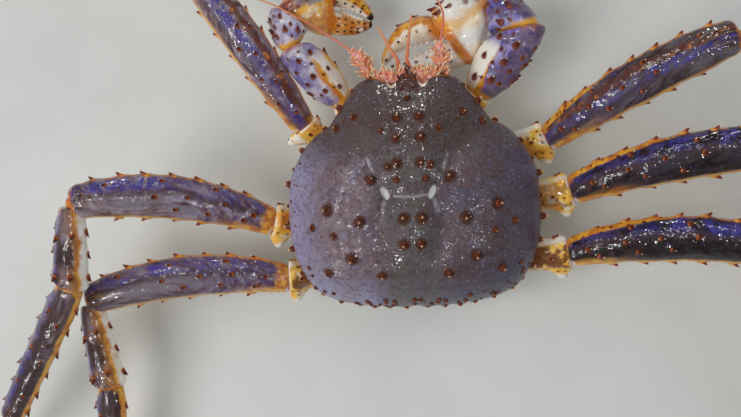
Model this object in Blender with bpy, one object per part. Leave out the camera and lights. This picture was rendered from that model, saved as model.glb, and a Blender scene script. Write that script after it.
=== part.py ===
"""A life-size blue king crab, still, standing on its belly and six walking feet.

+X is the crab's right, +Y is forward, +Z is up, and the floor is z = 0. Lengths below are in
millimetres and are turned into metres where a mesh is made. Each object is one named piece of shell.
"""

import math
import random

import bmesh
import bpy
import numpy as np
from mathutils import Vector

MM = 0.001
JOINT_GAP = 0.3
SPINE_SEED = 7

# Carapace: half outline in plan from the middle of the front to the middle of the back.
CARAPACE_EDGE = (
    (0, 87), (9, 83.5), (15, 88), (24, 91), (33, 88), (41, 78), (50, 66), (57, 57), (66, 53), (74, 47),
    (82, 36), (88, 22), (90, 5), (90, -12), (88, -27), (83, -43), (75, -56), (62, -65),
    (44, -70), (22, -72.5), (0, -72.5),
)
CARAPACE_GRID = 22
CARAPACE_CROWN_Z = 81
CARAPACE_FLOOR_Z = 34.3
# The dome falls from crown to rim as (1 - share^DOME_POWER)^DOME_ROOT.
DOME_POWER = 2.6
DOME_ROOT = 0.62
# Height of the rim: it rises towards the face from one y to another, and dips towards the back.
EDGE_Z = 46
FRONT_EDGE_RISE, FRONT_EDGE_SPAN = 14, (36, 82)
REAR_EDGE_DROP, REAR_EDGE_SPAN = 4, (-30, -70)
# Rings of the tucked-in underside: share of the rim's reach, share of the way down to the underside.
UNDERSIDE_RINGS = ((0.95, 0.45), (0.83, 1.0))
FACE_START_Y = 50
FACE_SLOPE = 0.638
FACE_CUT_REACH = 60

# Swellings of the shell: centre x, centre y, spread x, spread y, height. Those off the midline are pairs.
SWELLINGS = (
    (0, 42, 25, 23, 8),
    (0, -18, 15, 20, 4.5),
    (52, -6, 26, 36, 6),
    (22, 62, 14, 14, 2),
)
# Grooves: points of half a line, depth and spread. The neck groove crosses the midline.
NECK_GROOVE = ((60, 56), (44, 47), (31, 35), (24, 20), (17, 8), (0, 5))
HEART_GROOVE = ((17, 8), (21, -6), (20, -22), (14, -36))
GROOVE_DEPTH = 4.5
GROOVE_SPREAD = 6.0

# Spines of the back: half x, y, length. Each is a pair.
BACK_SPINES = (
    (7, 58.5, 6.5), (8.2, 44, 6), (7.7, 27.8, 6.5), (14, 26, 4.5), (9.5, 17, 3), (19.5, 50.5, 3),
    (37, 61.5, 4.5), (50, 55.5, 4.5), (27, 17.6, 7.5), (57, -1.5, 7.5), (35, -10, 7.5),
    (68.5, -13, 4), (53.6, -19, 4), (42, -35, 7), (58.5, -44.5, 5.5), (22.6, -47, 5.5),
    (5.6, -9, 6.5), (5.7, -26, 6),
)
# Spines of the edge: bearing in degrees from +X, length. Each is a pair.
EDGE_SPINES = (
    (74, 9), (65, 5), (56, 8), (43, 7.5), (28.5, 7.5), (19, 4.5), (12, 8.5), (2, 4.5), (-7.4, 7.5),
    (-17.7, 7), (-29.3, 7), (-36, 5), (-42, 6.5), (-50.6, 6.5), (-59.4, 6.5), (-66.7, 6.5),
    (-74.5, 6.5), (-84, 6),
)
# Root radius of a spine as a share of its length, on the back and on the edge.
BACK_SPINE_FATNESS = 0.5
EDGE_SPINE_FATNESS = 0.42
EDGE_SPINE_INSET = 0.985
EDGE_SPINE_RISE = 0.35
SPINE_ROOT = 2.6
SPINE_SIDES = 5
# Chance wander of the spines: sideways in millimetres, along a limb as a share, round it in degrees,
# and the least and greatest share of the wanted length.
BACK_WANDER = 0.8
SHARE_WANDER = 0.012
ANGLE_WANDER = 5
BACK_LENGTHS = (0.92, 1.08)
LIMB_LENGTHS = (0.85, 1.12)
ROSTRUM = ((0, 78, 63), (0, 96, 71), 6.0)
ROSTRUM_SIDE_SPINES = ((4.0, 84, 66), (7, 90.5, 73), 2.6)

# Thorax: facets as bearing in degrees and distance from the origin, right side from front to back.
THORAX_FACETS = ((90, 56), (58, 56), (28, 54), (-2, 50), (-30, 52), (-90, 54))
THORAX_Z = (12.2, 34.0)
SHIN_Z = 22.8

# Head block under the front of the shell: y, half width and height of its foot, from back to front.
HEAD_CLEARANCE = 0.36
HEAD_STATIONS = ((56.3, 17.0, 13.0), (66.0, 22.0, 15.0), (80.0, 26.0, 24.0))

# Tail flap: centre line in y and z, half width, half thickness.
TAIL_STATIONS = (
    (-54.3, 28.0, 25, 4.8), (-58.0, 28.4, 29, 5.2), (-64.6, 25.9, 35, 5.6), (-68.0, 19.2, 40, 5.6),
    (-67.0, 11.6, 43, 5.4), (-62.0, 7.0, 45, 5.8), (-57.0, 5.9, 46, 5.9), (-55.0, 5.7, 46.5, 5.0),
    (-53.0, 5.9, 47, 5.9), (-39.0, 5.9, 46.5, 5.9), (-37.2, 5.7, 46, 5.0), (-35.4, 5.9, 45.5, 5.9),
    (-22.0, 5.9, 42, 5.9), (-20.2, 5.7, 41, 5.0), (-18.4, 5.9, 40, 5.9), (-7.0, 5.9, 35.5, 5.9),
    (10.0, 5.9, 25, 5.8), (11.6, 5.7, 23.6, 5.0), (13.2, 5.9, 22, 5.7), (20.0, 5.8, 14, 5.2),
    (24.0, 5.6, 6, 4.0),
)
# Across the flap: share of the half width and of the half thickness, outside and inside.
TAIL_PLATES = ((1.0, 0.0), (0.94, 0.66), (0.72, 1.03), (0.50, 1.03), (0.42, 0.84), (0.34, 1.03), (0.0, 1.03))
TAIL_INSIDE = ((0.94, 0.6), (0.5, 0.98))

# Walking legs: coxa start is set on the thorax; then coxa end, merus start, knee, wrist, ankle, tip.
# The bow is how far the middle of the merus lies off its chord, forward and up.
LEGS = {
    "leg2_left": {
        "facet": 2, "bow": (2.5, 0, 6), "scale": 0.88,
        "joints": ((-65, 49, 24), (-79, 63, 34), (-147, 172, 86), (-200, 201, 78), (-304, 215, 28),
                   (-362, 207, 0.6)),
    },
    "leg3_left": {
        "facet": 3, "bow": (0, 11, 4), "scale": 1.0,
        "joints": ((-72, -6, 23), (-105, -8, 36), (-230, 11, 92), (-240, -47, 80), (-311, -147, 44),
                   (-340, -196, 0.6)),
    },
    "leg4_left": {
        "facet": 4, "bow": (0, 10, 4), "scale": 1.0,
        "joints": ((-66, -44, 22), (-96, -51, 31), (-242, -60, 50), (-232, -126, 44), (-240, -240, 22),
                   (-249, -297, 0.6)),
    },
    "leg2_right": {
        "facet": 2, "bow": (-1.5, 4.5, 8), "scale": 0.95,
        "joints": ((66, 39, 24), (99, 44, 36), (207, 96, 92), (256, 68, 84), (334, 6, 30),
                   (376, -36, 0.6)),
    },
    "leg3_right": {
        "facet": 3, "bow": (0, 8, 5), "scale": 1.0,
        "joints": ((74, 1, 23), (114, 6, 36), (246, 25, 88), (274, -29, 75), (340, -126, 34),
                   (374, -178, 0.6)),
    },
    "leg4_right": {
        "facet": 4, "bow": (0, 9, 4), "scale": 1.0,
        "joints": ((68, -42, 22), (111, -39, 34), (239, -40, 78), (250, -102, 60), (289, -208, 26),
                   (309, -262, 0.6)),
    },
}
# Which way the broad side of a leg faces.
LEG_FACE = (0.0, -0.22, 0.97)
LEG_SEGMENTS = ("coxa", "ischium", "merus", "carpus", "propodus", "dactyl")
# Along a segment: share of its length, half breadth, half thickness.
SEGMENT_SHAPES = {
    "coxa": ((0, 11.2, 9.3), (0.5, 11.6, 9.6), (1, 10.2, 8.8)),
    "ischium": ((0, 9.4, 8.2), (0.3, 10.2, 8.8), (0.7, 11.6, 9.4), (0.92, 12.4, 9.6), (1, 11.6, 8.8)),
    "merus": ((0, 10.4, 8.4), (0.1, 12.2, 9.2), (0.28, 14.0, 10.0), (0.52, 15.2, 10.2), (0.76, 14.2, 9.8),
              (0.94, 12.6, 9.4), (1, 9.8, 8.4)),
    "carpus": ((0, 7.6, 7.0), (0.16, 9.4, 8.2), (0.45, 10.4, 8.8), (0.75, 11.8, 9.2), (0.92, 12.0, 9.0),
               (1, 9.8, 7.8)),
    "propodus": ((0, 9.0, 7.6), (0.12, 10.4, 8.0), (0.4, 10.2, 7.6), (0.75, 9.4, 6.8), (0.93, 9.0, 6.4),
                 (1, 7.6, 5.8)),
    "dactyl": ((0, 6.0, 5.0), (0.12, 6.6, 5.4), (0.35, 5.6, 4.6), (0.65, 4.0, 3.4), (0.88, 2.4, 2.1),
               (1, 1.4, 1.3)),
}
# Rows of spines on a segment: angle round it in degrees (0 is the leading edge, 90 the upper face,
# 180 the trailing edge), how many, first and last share of the length, length.
SEGMENT_SPINES = {
    "coxa": (),
    "ischium": ((0, 1, 0.80, 0.80, 4.0), (90, 1, 0.70, 0.70, 3.2), (182, 1, 0.78, 0.78, 8.0)),
    "merus": ((2, 7, 0.14, 0.90, 5.2), (38, 3, 0.30, 0.84, 3.4), (78, 4, 0.10, 0.60, 3.6),
              (112, 3, 0.16, 0.50, 3.4), (180, 6, 0.20, 0.90, 5.0)),
    "carpus": ((0, 3, 0.28, 0.84, 4.6), (55, 2, 0.40, 0.84, 5.0), (112, 2, 0.34, 0.82, 4.4),
               (180, 3, 0.30, 0.84, 4.6)),
    "propodus": ((0, 6, 0.12, 0.90, 4.4), (62, 3, 0.16, 0.70, 3.2), (118, 3, 0.22, 0.78, 3.2),
                 (180, 6, 0.12, 0.90, 4.6)),
    "dactyl": ((4, 3, 0.16, 0.52, 2.6), (176, 3, 0.16, 0.52, 2.6)),
}
SEGMENT_BOW = {"dactyl": (0, 0, 5.0)}
RING_SIDES = 8
PALM_SIDES = 10
DACTYL_SIDES = 6
FEELER_SIDES = 6
FLAGELLUM_SIDES = 5
OUTLINE_SHARES = 13
# How far from a joint, in half breadths, the rings start to tilt to its plane, and how fast.
TILT_REACH = 1.5
TILT_POWER = 0.8
SPINE_LEAN = 0.45
LIMB_SPINE_FATNESS = 0.40
SPINE_CLEARANCE = 1.0
# Joints closer than this belong to pieces that touch.
JOINT_REACH = 14
SHARP_ANGLE = 35

# Claw legs: joints as for a leg up to the wrist, then the end of the palm and the tips of the fingers.
# "up" points from the fixed finger to the movable one.
CLAWS = {
    "claw_left": {
        "facet": 1, "size": 0.84, "up": (0.08, 0.92, 0.38),
        "joints": ((-37, 63, 25), (-49, 79, 34), (-81, 116, 57), (-84, 139, 55), (-54, 147, 42)),
        "finger_tip": (-24, 137, 33), "finger_bow": (6.0, 3.0), "tip_gap": 1.6, "teeth": 4,
    },
    "claw_right": {
        "facet": 1, "size": 1.0, "up": (-0.10, 0.93, 0.35),
        "joints": ((38, 64, 25), (50, 80, 36), (80, 118, 61), (60, 136, 50), (31, 118, 39)),
        "finger_tip": (-16, 103, 33), "finger_bow": (8.5, 3.5), "tip_gap": 2.0, "teeth": 4,
    },
}
CLAW_SHAPES = {
    "coxa": ((0, 10.0, 9.0), (0.5, 10.4, 9.2), (1, 9.2, 8.4)),
    "ischium": ((0, 8.6, 8.0), (0.4, 9.6, 8.8), (0.85, 11.6, 10.0), (1, 10.8, 9.2)),
    "merus": ((0, 9.8, 8.6), (0.15, 13.0, 10.4), (0.45, 16.6, 11.8), (0.75, 16.4, 12.4),
              (0.92, 14.0, 11.6), (1, 9.0, 8.6)),
    "carpus": ((0, 8.0, 7.8), (0.25, 12.4, 11.4), (0.6, 14.8, 13.0), (0.86, 13.4, 11.8), (1, 9.0, 8.6)),
    "palm": ((0, 8.4, 8.0), (0.16, 12.6, 11.0), (0.42, 19.6, 13.8), (0.7, 23.6, 14.4), (0.92, 23.6, 13.4),
             (1, 22.0, 12.2)),
    "finger": ((0, 10.4, 11.0), (0.2, 9.8, 10.4), (0.5, 7.8, 8.2), (0.78, 5.0, 5.4), (0.93, 3.0, 3.2),
               (1, 1.6, 1.8)),
}
CLAW_SPINES = {
    "coxa": (),
    "ischium": ((90, 1, 0.70, 0.70, 3.2),),
    "merus": ((0, 3, 0.40, 0.88, 5.4), (60, 3, 0.20, 0.80, 4.4), (110, 3, 0.30, 0.84, 4.6),
              (165, 3, 0.40, 0.88, 5.6)),
    "carpus": ((0, 2, 0.40, 0.80, 5.4), (50, 2, 0.35, 0.80, 5.0), (100, 2, 0.40, 0.80, 5.2),
               (150, 2, 0.40, 0.80, 5.4)),
    "palm": ((0, 4, 0.26, 0.88, 5.4), (32, 3, 0.30, 0.82, 4.6), (-32, 3, 0.30, 0.82, 4.6)),
    "finger": ((10, 2, 0.20, 0.46, 3.4),),
}
# Teeth: root radius and height, where the row starts on the fixed and the movable finger, and its reach.
TOOTH = (2.2, 2.0)
FIXED_TEETH_START, FINGER_TEETH_START, TEETH_REACH = 0.22, 0.28, 0.5
CLAW_SEGMENTS = ("coxa", "ischium", "merus", "carpus", "palm")
CLAW_FACE = (0.0, 0.1, 1.0)
# Fingers: where they sit on the end of the palm as a share of its half breadth, and how deep the
# fixed one is rooted.
FINGER_PLACE = 0.52
FIXED_FINGER_ROOT = 3.0

# Face: eyes, antennules, antennae and mouth limbs grow from the front of the head block.
HEAD_FRONT_Y = 80
EYE = {"root": (9.6, 47.5), "tip": (12.2, 94.5, 60.5),
       "shape": ((0, 2.8), (0.45, 2.9), (0.62, 3.7), (0.85, 3.7), (1, 1.9))}
ANTENNULE = {
    "root": (4.0, 39),
    "left": ((-4.8, 91, 53), (-6.0, 101, 61), (-13, 113, 64), (-19, 124, 67)),
    "right": ((3.6, 91, 53), (0.5, 101, 61), (2.4, 115, 66), (5.2, 130, 70)),
    "radii": (2.2, 2.3, 2.1, 1.6, 0.8),
}
ANTENNA = {
    "root": (17.5, 41),
    "left": ((-24, 90, 50), (-29, 99, 58), (-35, 107, 64)),
    "right": ((22, 90, 50), (23.5, 99, 58), (22.5, 107, 64)),
    "radii": (4.2, 4.0, 3.4, 2.2),
}
FLAGELLUM = {
    "left": ((-34, 106, 63), (-50, 117, 71), (-70, 129, 80), (-90, 140, 83), (-112, 149, 79)),
    "right": ((22.5, 106, 63), (25, 115, 71), (26.5, 126, 76), (22, 137, 78), (11, 148, 77)),
    "radii": (1.3, 1.0, 0.8, 0.65, 0.5),
}
# Spines at the root of an antenna: direction and length.
ACICLE_RADIUS = 1.8
ACICLE_LIFT = 2.0
ACICLE_SPINES = (((0.35, 0.80, 0.45), 9.0), ((0.80, 0.55, 0.30), 8.0), ((-0.30, 0.85, 0.50), 6.5))
MAXILLIPED = {
    "root": (8.5, 31),
    "path": ((10.0, 85, 30.5), (11.0, 88.5, 25), (9.5, 89, 17), (7.0, 84, 13)),
    "radii": (4.4, 4.4, 4.0, 3.0, 1.6),
}

# Finish of each kind of piece: colour, roughness.
FINISHES = {
    "back_shell": ((0.115, 0.100, 0.130), 0.32),
    "leg_shell": ((0.120, 0.090, 0.150), 0.30),
    "claw_shell": ((0.150, 0.120, 0.230), 0.32),
    "joint_shell": ((0.620, 0.330, 0.060), 0.35),
    "pale_shell": ((0.780, 0.740, 0.640), 0.38),
    "feeler": ((0.560, 0.190, 0.120), 0.38),
    "eye": ((0.020, 0.015, 0.015), 0.12),
}


def vec(values):
    """An array of floats."""
    return np.array(values, float)


def unit(v):
    """The vector made one long."""
    return v / np.linalg.norm(v)


def smooth(x):
    """Eases from 0 to 1."""
    x = min(max(x, 0.0), 1.0)
    return x * x * (3 - 2 * x)


def at(stations, t):
    """A row of values read between stations whose first value is the share of the length."""
    table = vec(stations)
    return vec([np.interp(t, table[:, 0], table[:, k]) for k in range(1, table.shape[1])])


def finish(name):
    """The material of that name, made once."""
    found = bpy.data.materials.get(name)
    if found:
        return found
    colour, roughness = FINISHES[name]
    made = bpy.data.materials.new(name)
    made.use_nodes = True
    shader = made.node_tree.nodes["Principled BSDF"]
    shader.inputs["Base Color"].default_value = (*colour, 1.0)
    shader.inputs["Roughness"].default_value = roughness
    shader.inputs["Metallic"].default_value = 0.0
    return made


def piece(name, points, faces, slot):
    """A closed mesh object from points in millimetres, faces turned outwards."""
    mesh = bpy.data.meshes.new(name)
    shape = bmesh.new()
    corners = [shape.verts.new(Vector(p) * MM) for p in points]
    for face in faces:
        shape.faces.new([corners[i] for i in face])
    bmesh.ops.recalc_face_normals(shape, faces=shape.faces)
    shape.to_mesh(mesh)
    shape.free()
    made = bpy.data.objects.new(name, mesh)
    bpy.context.scene.collection.objects.link(made)
    mesh.materials.append(finish(slot))
    return made


def loft(name, rings, slot):
    """A closed skin over rings of points, capped at both ends."""
    sides = len(rings[0])
    points = [p for ring in rings for p in ring]
    faces = [tuple(range(sides)), tuple(range(len(points) - sides, len(points)))]
    for row in range(len(rings) - 1):
        low, high = row * sides, (row + 1) * sides
        for k in range(sides):
            n = (k + 1) % sides
            faces.append((low + k, low + n, high + n, high + k))
    return piece(name, points, faces, slot)


def spine(root, direction, length, radius, slot, sides=SPINE_SIDES):
    """A cone whose root is sunk below the surface point."""
    out = unit(vec(direction))
    side = unit(np.cross(out, (0.31, 0.57, 0.76)))
    other = np.cross(out, side)
    foot = vec(root) - out * SPINE_ROOT
    wide = radius * (1 + SPINE_ROOT / length)
    ring = [
        foot + wide * (math.cos(a) * side + math.sin(a) * other)
        for a in (2 * math.pi * k / sides for k in range(sides))
    ]
    points = ring + [vec(root) + out * length]
    faces = [tuple(range(sides))] + [(k, (k + 1) % sides, sides) for k in range(sides)]
    return piece("spine", points, faces, slot)


def keep_largest(target):
    """Leaves only the largest closed surface of a mesh."""
    shape = bmesh.new()
    shape.from_mesh(target.data)
    shape.faces.ensure_lookup_table()
    left = set(shape.faces)
    islands = []
    while left:
        stack = [left.pop()]
        island = set(stack)
        while stack:
            for edge in stack.pop().edges:
                for near in edge.link_faces:
                    if near in left:
                        left.remove(near)
                        island.add(near)
                        stack.append(near)
        islands.append(island)
    islands.sort(key=lambda faces: -sum(f.calc_area() for f in faces))
    loose = [f for island in islands[1:] for f in island]
    bmesh.ops.delete(shape, geom=loose, context="FACES")
    bmesh.ops.dissolve_degenerate(shape, edges=shape.edges, dist=1e-7)
    shape.to_mesh(target.data)
    shape.free()


def combine(target, others, operation="UNION"):
    """One Boolean of the target with every object in others, applied, with the others removed."""
    if not others:
        return target
    group = bpy.data.collections.new("operands")
    bpy.context.scene.collection.children.link(group)
    for other in others:
        bpy.context.scene.collection.objects.unlink(other)
        group.objects.link(other)
    change = target.modifiers.new("combine", "BOOLEAN")
    change.operation = operation
    change.operand_type = "COLLECTION"
    change.collection = group
    change.solver = "EXACT"
    depsgraph = bpy.context.evaluated_depsgraph_get()
    mesh = bpy.data.meshes.new_from_object(target.evaluated_get(depsgraph))
    target.modifiers.clear()
    target.data = mesh
    for other in others:
        bpy.data.objects.remove(other)
    bpy.data.collections.remove(group)
    keep_largest(target)
    return target


def stand_on_floor(target):
    """Cuts a piece off level with the floor, which leaves a small flat."""
    shape = bmesh.new()
    shape.from_mesh(target.data)
    everything = [*shape.verts, *shape.edges, *shape.faces]
    cut = bmesh.ops.bisect_plane(shape, geom=everything, plane_co=(0, 0, 0), plane_no=(0, 0, 1),
                                 clear_inner=True)
    edges = [e for e in cut["geom_cut"] if isinstance(e, bmesh.types.BMEdge)]
    bmesh.ops.holes_fill(shape, edges=edges, sides=0)
    bmesh.ops.recalc_face_normals(shape, faces=shape.faces)
    shape.to_mesh(target.data)
    shape.free()


def carapace_outline():
    """Outline radius of the shell in plan as a function of bearing, from the half outline."""
    half = vec(CARAPACE_EDGE)
    bearings = np.degrees(np.arctan2(half[:, 1], half[:, 0]))[::-1]
    radii = np.hypot(half[:, 0], half[:, 1])[::-1]

    def radius(bearing):
        folded = bearing if -90 <= bearing <= 90 else 180 - bearing
        return float(np.interp(folded, bearings, radii))

    return radius


EDGE_RADIUS = carapace_outline()


def plan_point(bearing, share=1.0):
    """A point of the outline, or of a smaller copy of it."""
    reach = EDGE_RADIUS((bearing + 90) % 360 - 90) * share
    angle = math.radians(bearing)
    return reach * math.cos(angle), reach * math.sin(angle)


def line_distance(x, y, line):
    """How far a point in plan is from an open line of points."""
    best = 1e9
    for (ax, ay), (bx, by) in zip(line, line[1:]):
        dx, dy = bx - ax, by - ay
        t = min(max(((x - ax) * dx + (y - ay) * dy) / (dx * dx + dy * dy), 0.0), 1.0)
        best = min(best, math.hypot(x - ax - t * dx, y - ay - t * dy))
    return best


def edge_height(y):
    """Height of the shell's rim: it rises to the front and dips to the back."""
    front, back = (smooth((y - start) / (end - start)) for start, end in (FRONT_EDGE_SPAN, REAR_EDGE_SPAN))
    return EDGE_Z + FRONT_EDGE_RISE * front - REAR_EDGE_DROP * back


def carapace_height(x, y):
    """Height of the back of the shell over a point in plan."""
    share = min(math.hypot(x, y) / EDGE_RADIUS(math.degrees(math.atan2(y, abs(x)))), 1.0)
    dome = (1 - share**DOME_POWER) ** DOME_ROOT
    rim = edge_height(y)
    height = rim + (CARAPACE_CROWN_Z - rim) * dome
    for cx, cy, sx, sy, lift in SWELLINGS:
        height += dome * lift * math.exp(-(((abs(x) - cx) / sx) ** 2) - ((y - cy) / sy) ** 2)
    for line in (NECK_GROOVE, HEART_GROOVE):
        near = line_distance(abs(x), y, line) / GROOVE_SPREAD
        height -= GROOVE_DEPTH * dome * math.exp(-near * near)
    return height


def carapace_normal(x, y):
    """Outward direction of the back of the shell over a point in plan."""
    step = 2.0
    slope_x = (carapace_height(x + step, y) - carapace_height(x - step, y)) / (2 * step)
    slope_y = (carapace_height(x, y + step) - carapace_height(x, y - step)) / (2 * step)
    return unit(vec((-slope_x, -slope_y, 1.0)))


def disc_share(u, v):
    """Bearing in degrees and share of the radius of a point of the unit square pressed into a disc."""
    x, y = u * math.sqrt(1 - v * v / 2), v * math.sqrt(1 - u * u / 2)
    return math.degrees(math.atan2(y, x)), min(math.hypot(x, y), 1.0)


def carapace_mesh():
    """Points and faces of the bare shell: a domed grid, its rim tucked under, and a flat underside."""
    n = CARAPACE_GRID
    wide = n + 1
    points = []
    for row in range(wide):
        for column in range(wide):
            x, y = plan_point(*disc_share(2 * column / n - 1, 2 * row / n - 1))
            points.append((x, y, carapace_height(x, y)))
    faces = [
        (row * wide + k, row * wide + k + 1, (row + 1) * wide + k + 1, (row + 1) * wide + k)
        for row in range(n) for k in range(n)
    ]
    front, back = [n * wide + n - k for k in range(n)], list(range(n))
    right, left = [k * wide + n for k in range(n)], [(n - k) * wide for k in range(n)]
    upper = rim = back + right + front + left
    for share, drop in UNDERSIDE_RINGS:
        lower = []
        for corner in rim:
            x, y, z = points[corner]
            lower.append(len(points))
            points.append((x * share, y * share, z + (CARAPACE_FLOOR_Z - z) * drop))
        for k in range(len(rim)):
            after = (k + 1) % len(rim)
            faces.append((upper[k], upper[after], lower[after], lower[k]))
        upper = lower
    faces.append(tuple(upper))
    return points, faces


def face_cutter():
    """The wedge of space over the face, in front of and below the slanted underside of the shell."""
    back, front = FACE_START_Y - FACE_CUT_REACH / 2, FACE_START_Y + FACE_CUT_REACH
    outline = (
        (back, 0.0), (back, CARAPACE_FLOOR_Z - FACE_SLOPE), (FACE_START_Y, CARAPACE_FLOOR_Z),
        (front, CARAPACE_FLOOR_Z + FACE_CUT_REACH * FACE_SLOPE), (front, 0.0),
    )
    rings = [[(x, y, z) for y, z in outline] for x in (-2 * FACE_CUT_REACH, 2 * FACE_CUT_REACH)]
    return loft("face_cutter", rings, "back_shell")


def make_carapace(dice):
    """The domed back shell with its rim, rostrum and spines, cut away over the face."""
    shell = piece("carapace", *carapace_mesh(), "back_shell")
    combine(shell, [face_cutter()], "DIFFERENCE")
    growths = [rostral_spine(ROSTRUM, 0)]
    growths += [rostral_spine(ROSTRUM_SIDE_SPINES, side) for side in (-1, 1)]
    combine(shell, growths + back_spines(dice) + edge_spines(dice))


def rostral_spine(shape, side):
    """A spine of the rostrum, on the midline or on one side of it."""
    root, tip, radius = shape
    flip = vec((side or 1, 1, 1))
    start, end = vec(root) * flip, vec(tip) * flip
    along = unit(end - start)
    return spine(start + along * SPINE_ROOT, along, np.linalg.norm(end - start) - SPINE_ROOT, radius,
                 "back_shell")


def back_spines(dice):
    """Pairs of short cones on the back of the shell."""
    made = []
    for half_x, y, length in BACK_SPINES:
        for side in (-1, 1):
            x = side * half_x + dice.uniform(-BACK_WANDER, BACK_WANDER)
            tall = length * dice.uniform(*BACK_LENGTHS)
            root = (x, y, carapace_height(x, y))
            made.append(spine(root, carapace_normal(x, y), tall, tall * BACK_SPINE_FATNESS, "back_shell"))
    return made


def edge_spines(dice):
    """Pairs of spines standing out from the rim of the shell."""
    made = []
    for bearing, length in EDGE_SPINES:
        for side in (-1, 1):
            angle = bearing if side > 0 else 180 - bearing
            x, y = plan_point(angle, EDGE_SPINE_INSET)
            ahead, behind = plan_point(angle + 3, 1.0), plan_point(angle - 3, 1.0)
            tangent = unit(vec((ahead[0] - behind[0], ahead[1] - behind[1], 0.0)))
            out = vec((tangent[1], -tangent[0], EDGE_SPINE_RISE))
            tall = length * dice.uniform(*BACK_LENGTHS)
            root = (x, y, edge_height(y) + 1.0)
            made.append(spine(root, out, tall, tall * EDGE_SPINE_FATNESS, "back_shell"))
    return made


def facet_corners():
    """Corners in plan of the thorax, right side from front to back."""
    corners = []
    for (a, p), (b, q) in zip(THORAX_FACETS, THORAX_FACETS[1:]):
        lines = [[math.cos(math.radians(g)), math.sin(math.radians(g))] for g in (a, b)]
        corners.append(np.linalg.solve(lines, (p, q)))
    return corners


def make_thorax():
    """The chest: a many-sided block whose facets carry the legs."""
    right = facet_corners()
    plan = [tuple(c) for c in right] + [(-c[0], c[1]) for c in reversed(right)]
    rings = [[(x, y, z) for x, y in plan] for z in THORAX_Z]
    return loft("thorax", rings, "pale_shell")


def facet_root(index, side):
    """Middle and outward direction of a facet of the thorax."""
    corners = facet_corners()
    x, y = (corners[index - 1] + corners[index]) / 2
    angle = math.radians(THORAX_FACETS[index][0])
    return vec((side * x, y, SHIN_Z)), vec((side * math.cos(angle), math.sin(angle), 0.0))


def make_head():
    """The block under the front of the shell that carries eyes, feelers and mouth limbs."""
    rings = []
    for y, half, foot in HEAD_STATIONS:
        top = CARAPACE_FLOOR_Z + (y - FACE_START_Y) * FACE_SLOPE - HEAD_CLEARANCE
        rings.append([(-half, y, foot), (half, y, foot), (half, y, top), (-half, y, top)])
    return loft("head", rings, "pale_shell")


def tail_ring(y, z, half_width, half_thick, direction):
    """A cross-section of the tail flap: plates with grooves between them outside, plain inside."""
    half = [(share, rise) for share, rise in TAIL_PLATES if share > 0]
    middle = [(share, rise) for share, rise in TAIL_PLATES if share == 0]
    ring = half + middle + [(-share, rise) for share, rise in reversed(half)]
    ring += [(-share, -rise) for share, rise in TAIL_INSIDE] + list(
        (share, -rise) for share, rise in reversed(TAIL_INSIDE))
    outward = vec((0.0, direction[2], -direction[1]))
    return [vec((share * half_width, y, z)) + outward * rise * half_thick for share, rise in ring]


def make_abdomen():
    """The tail flap, folded under the body, whose flat underside rests on the floor."""
    lines = vec([(0.0, y, z) for y, z, _, _ in TAIL_STATIONS])
    rings = []
    for k, (y, z, half_width, half_thick) in enumerate(TAIL_STATIONS):
        ahead, behind = lines[min(k + 1, len(lines) - 1)], lines[max(k - 1, 0)]
        along = unit(ahead - behind) if k else vec((0.0, -1.0, 0.0))
        rings.append(tail_ring(y, z, half_width, half_thick, along))
    made = loft("abdomen", rings, "pale_shell")
    stand_on_floor(made)
    return made


def segment_frame(start, end, face, side):
    """Axis, breadth and thickness directions of a limb segment. Breadth points to its leading edge."""
    along = unit(end - start)
    breadth = unit(np.cross(face, along)) * side
    return along, breadth, np.cross(along, breadth) * side


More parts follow.
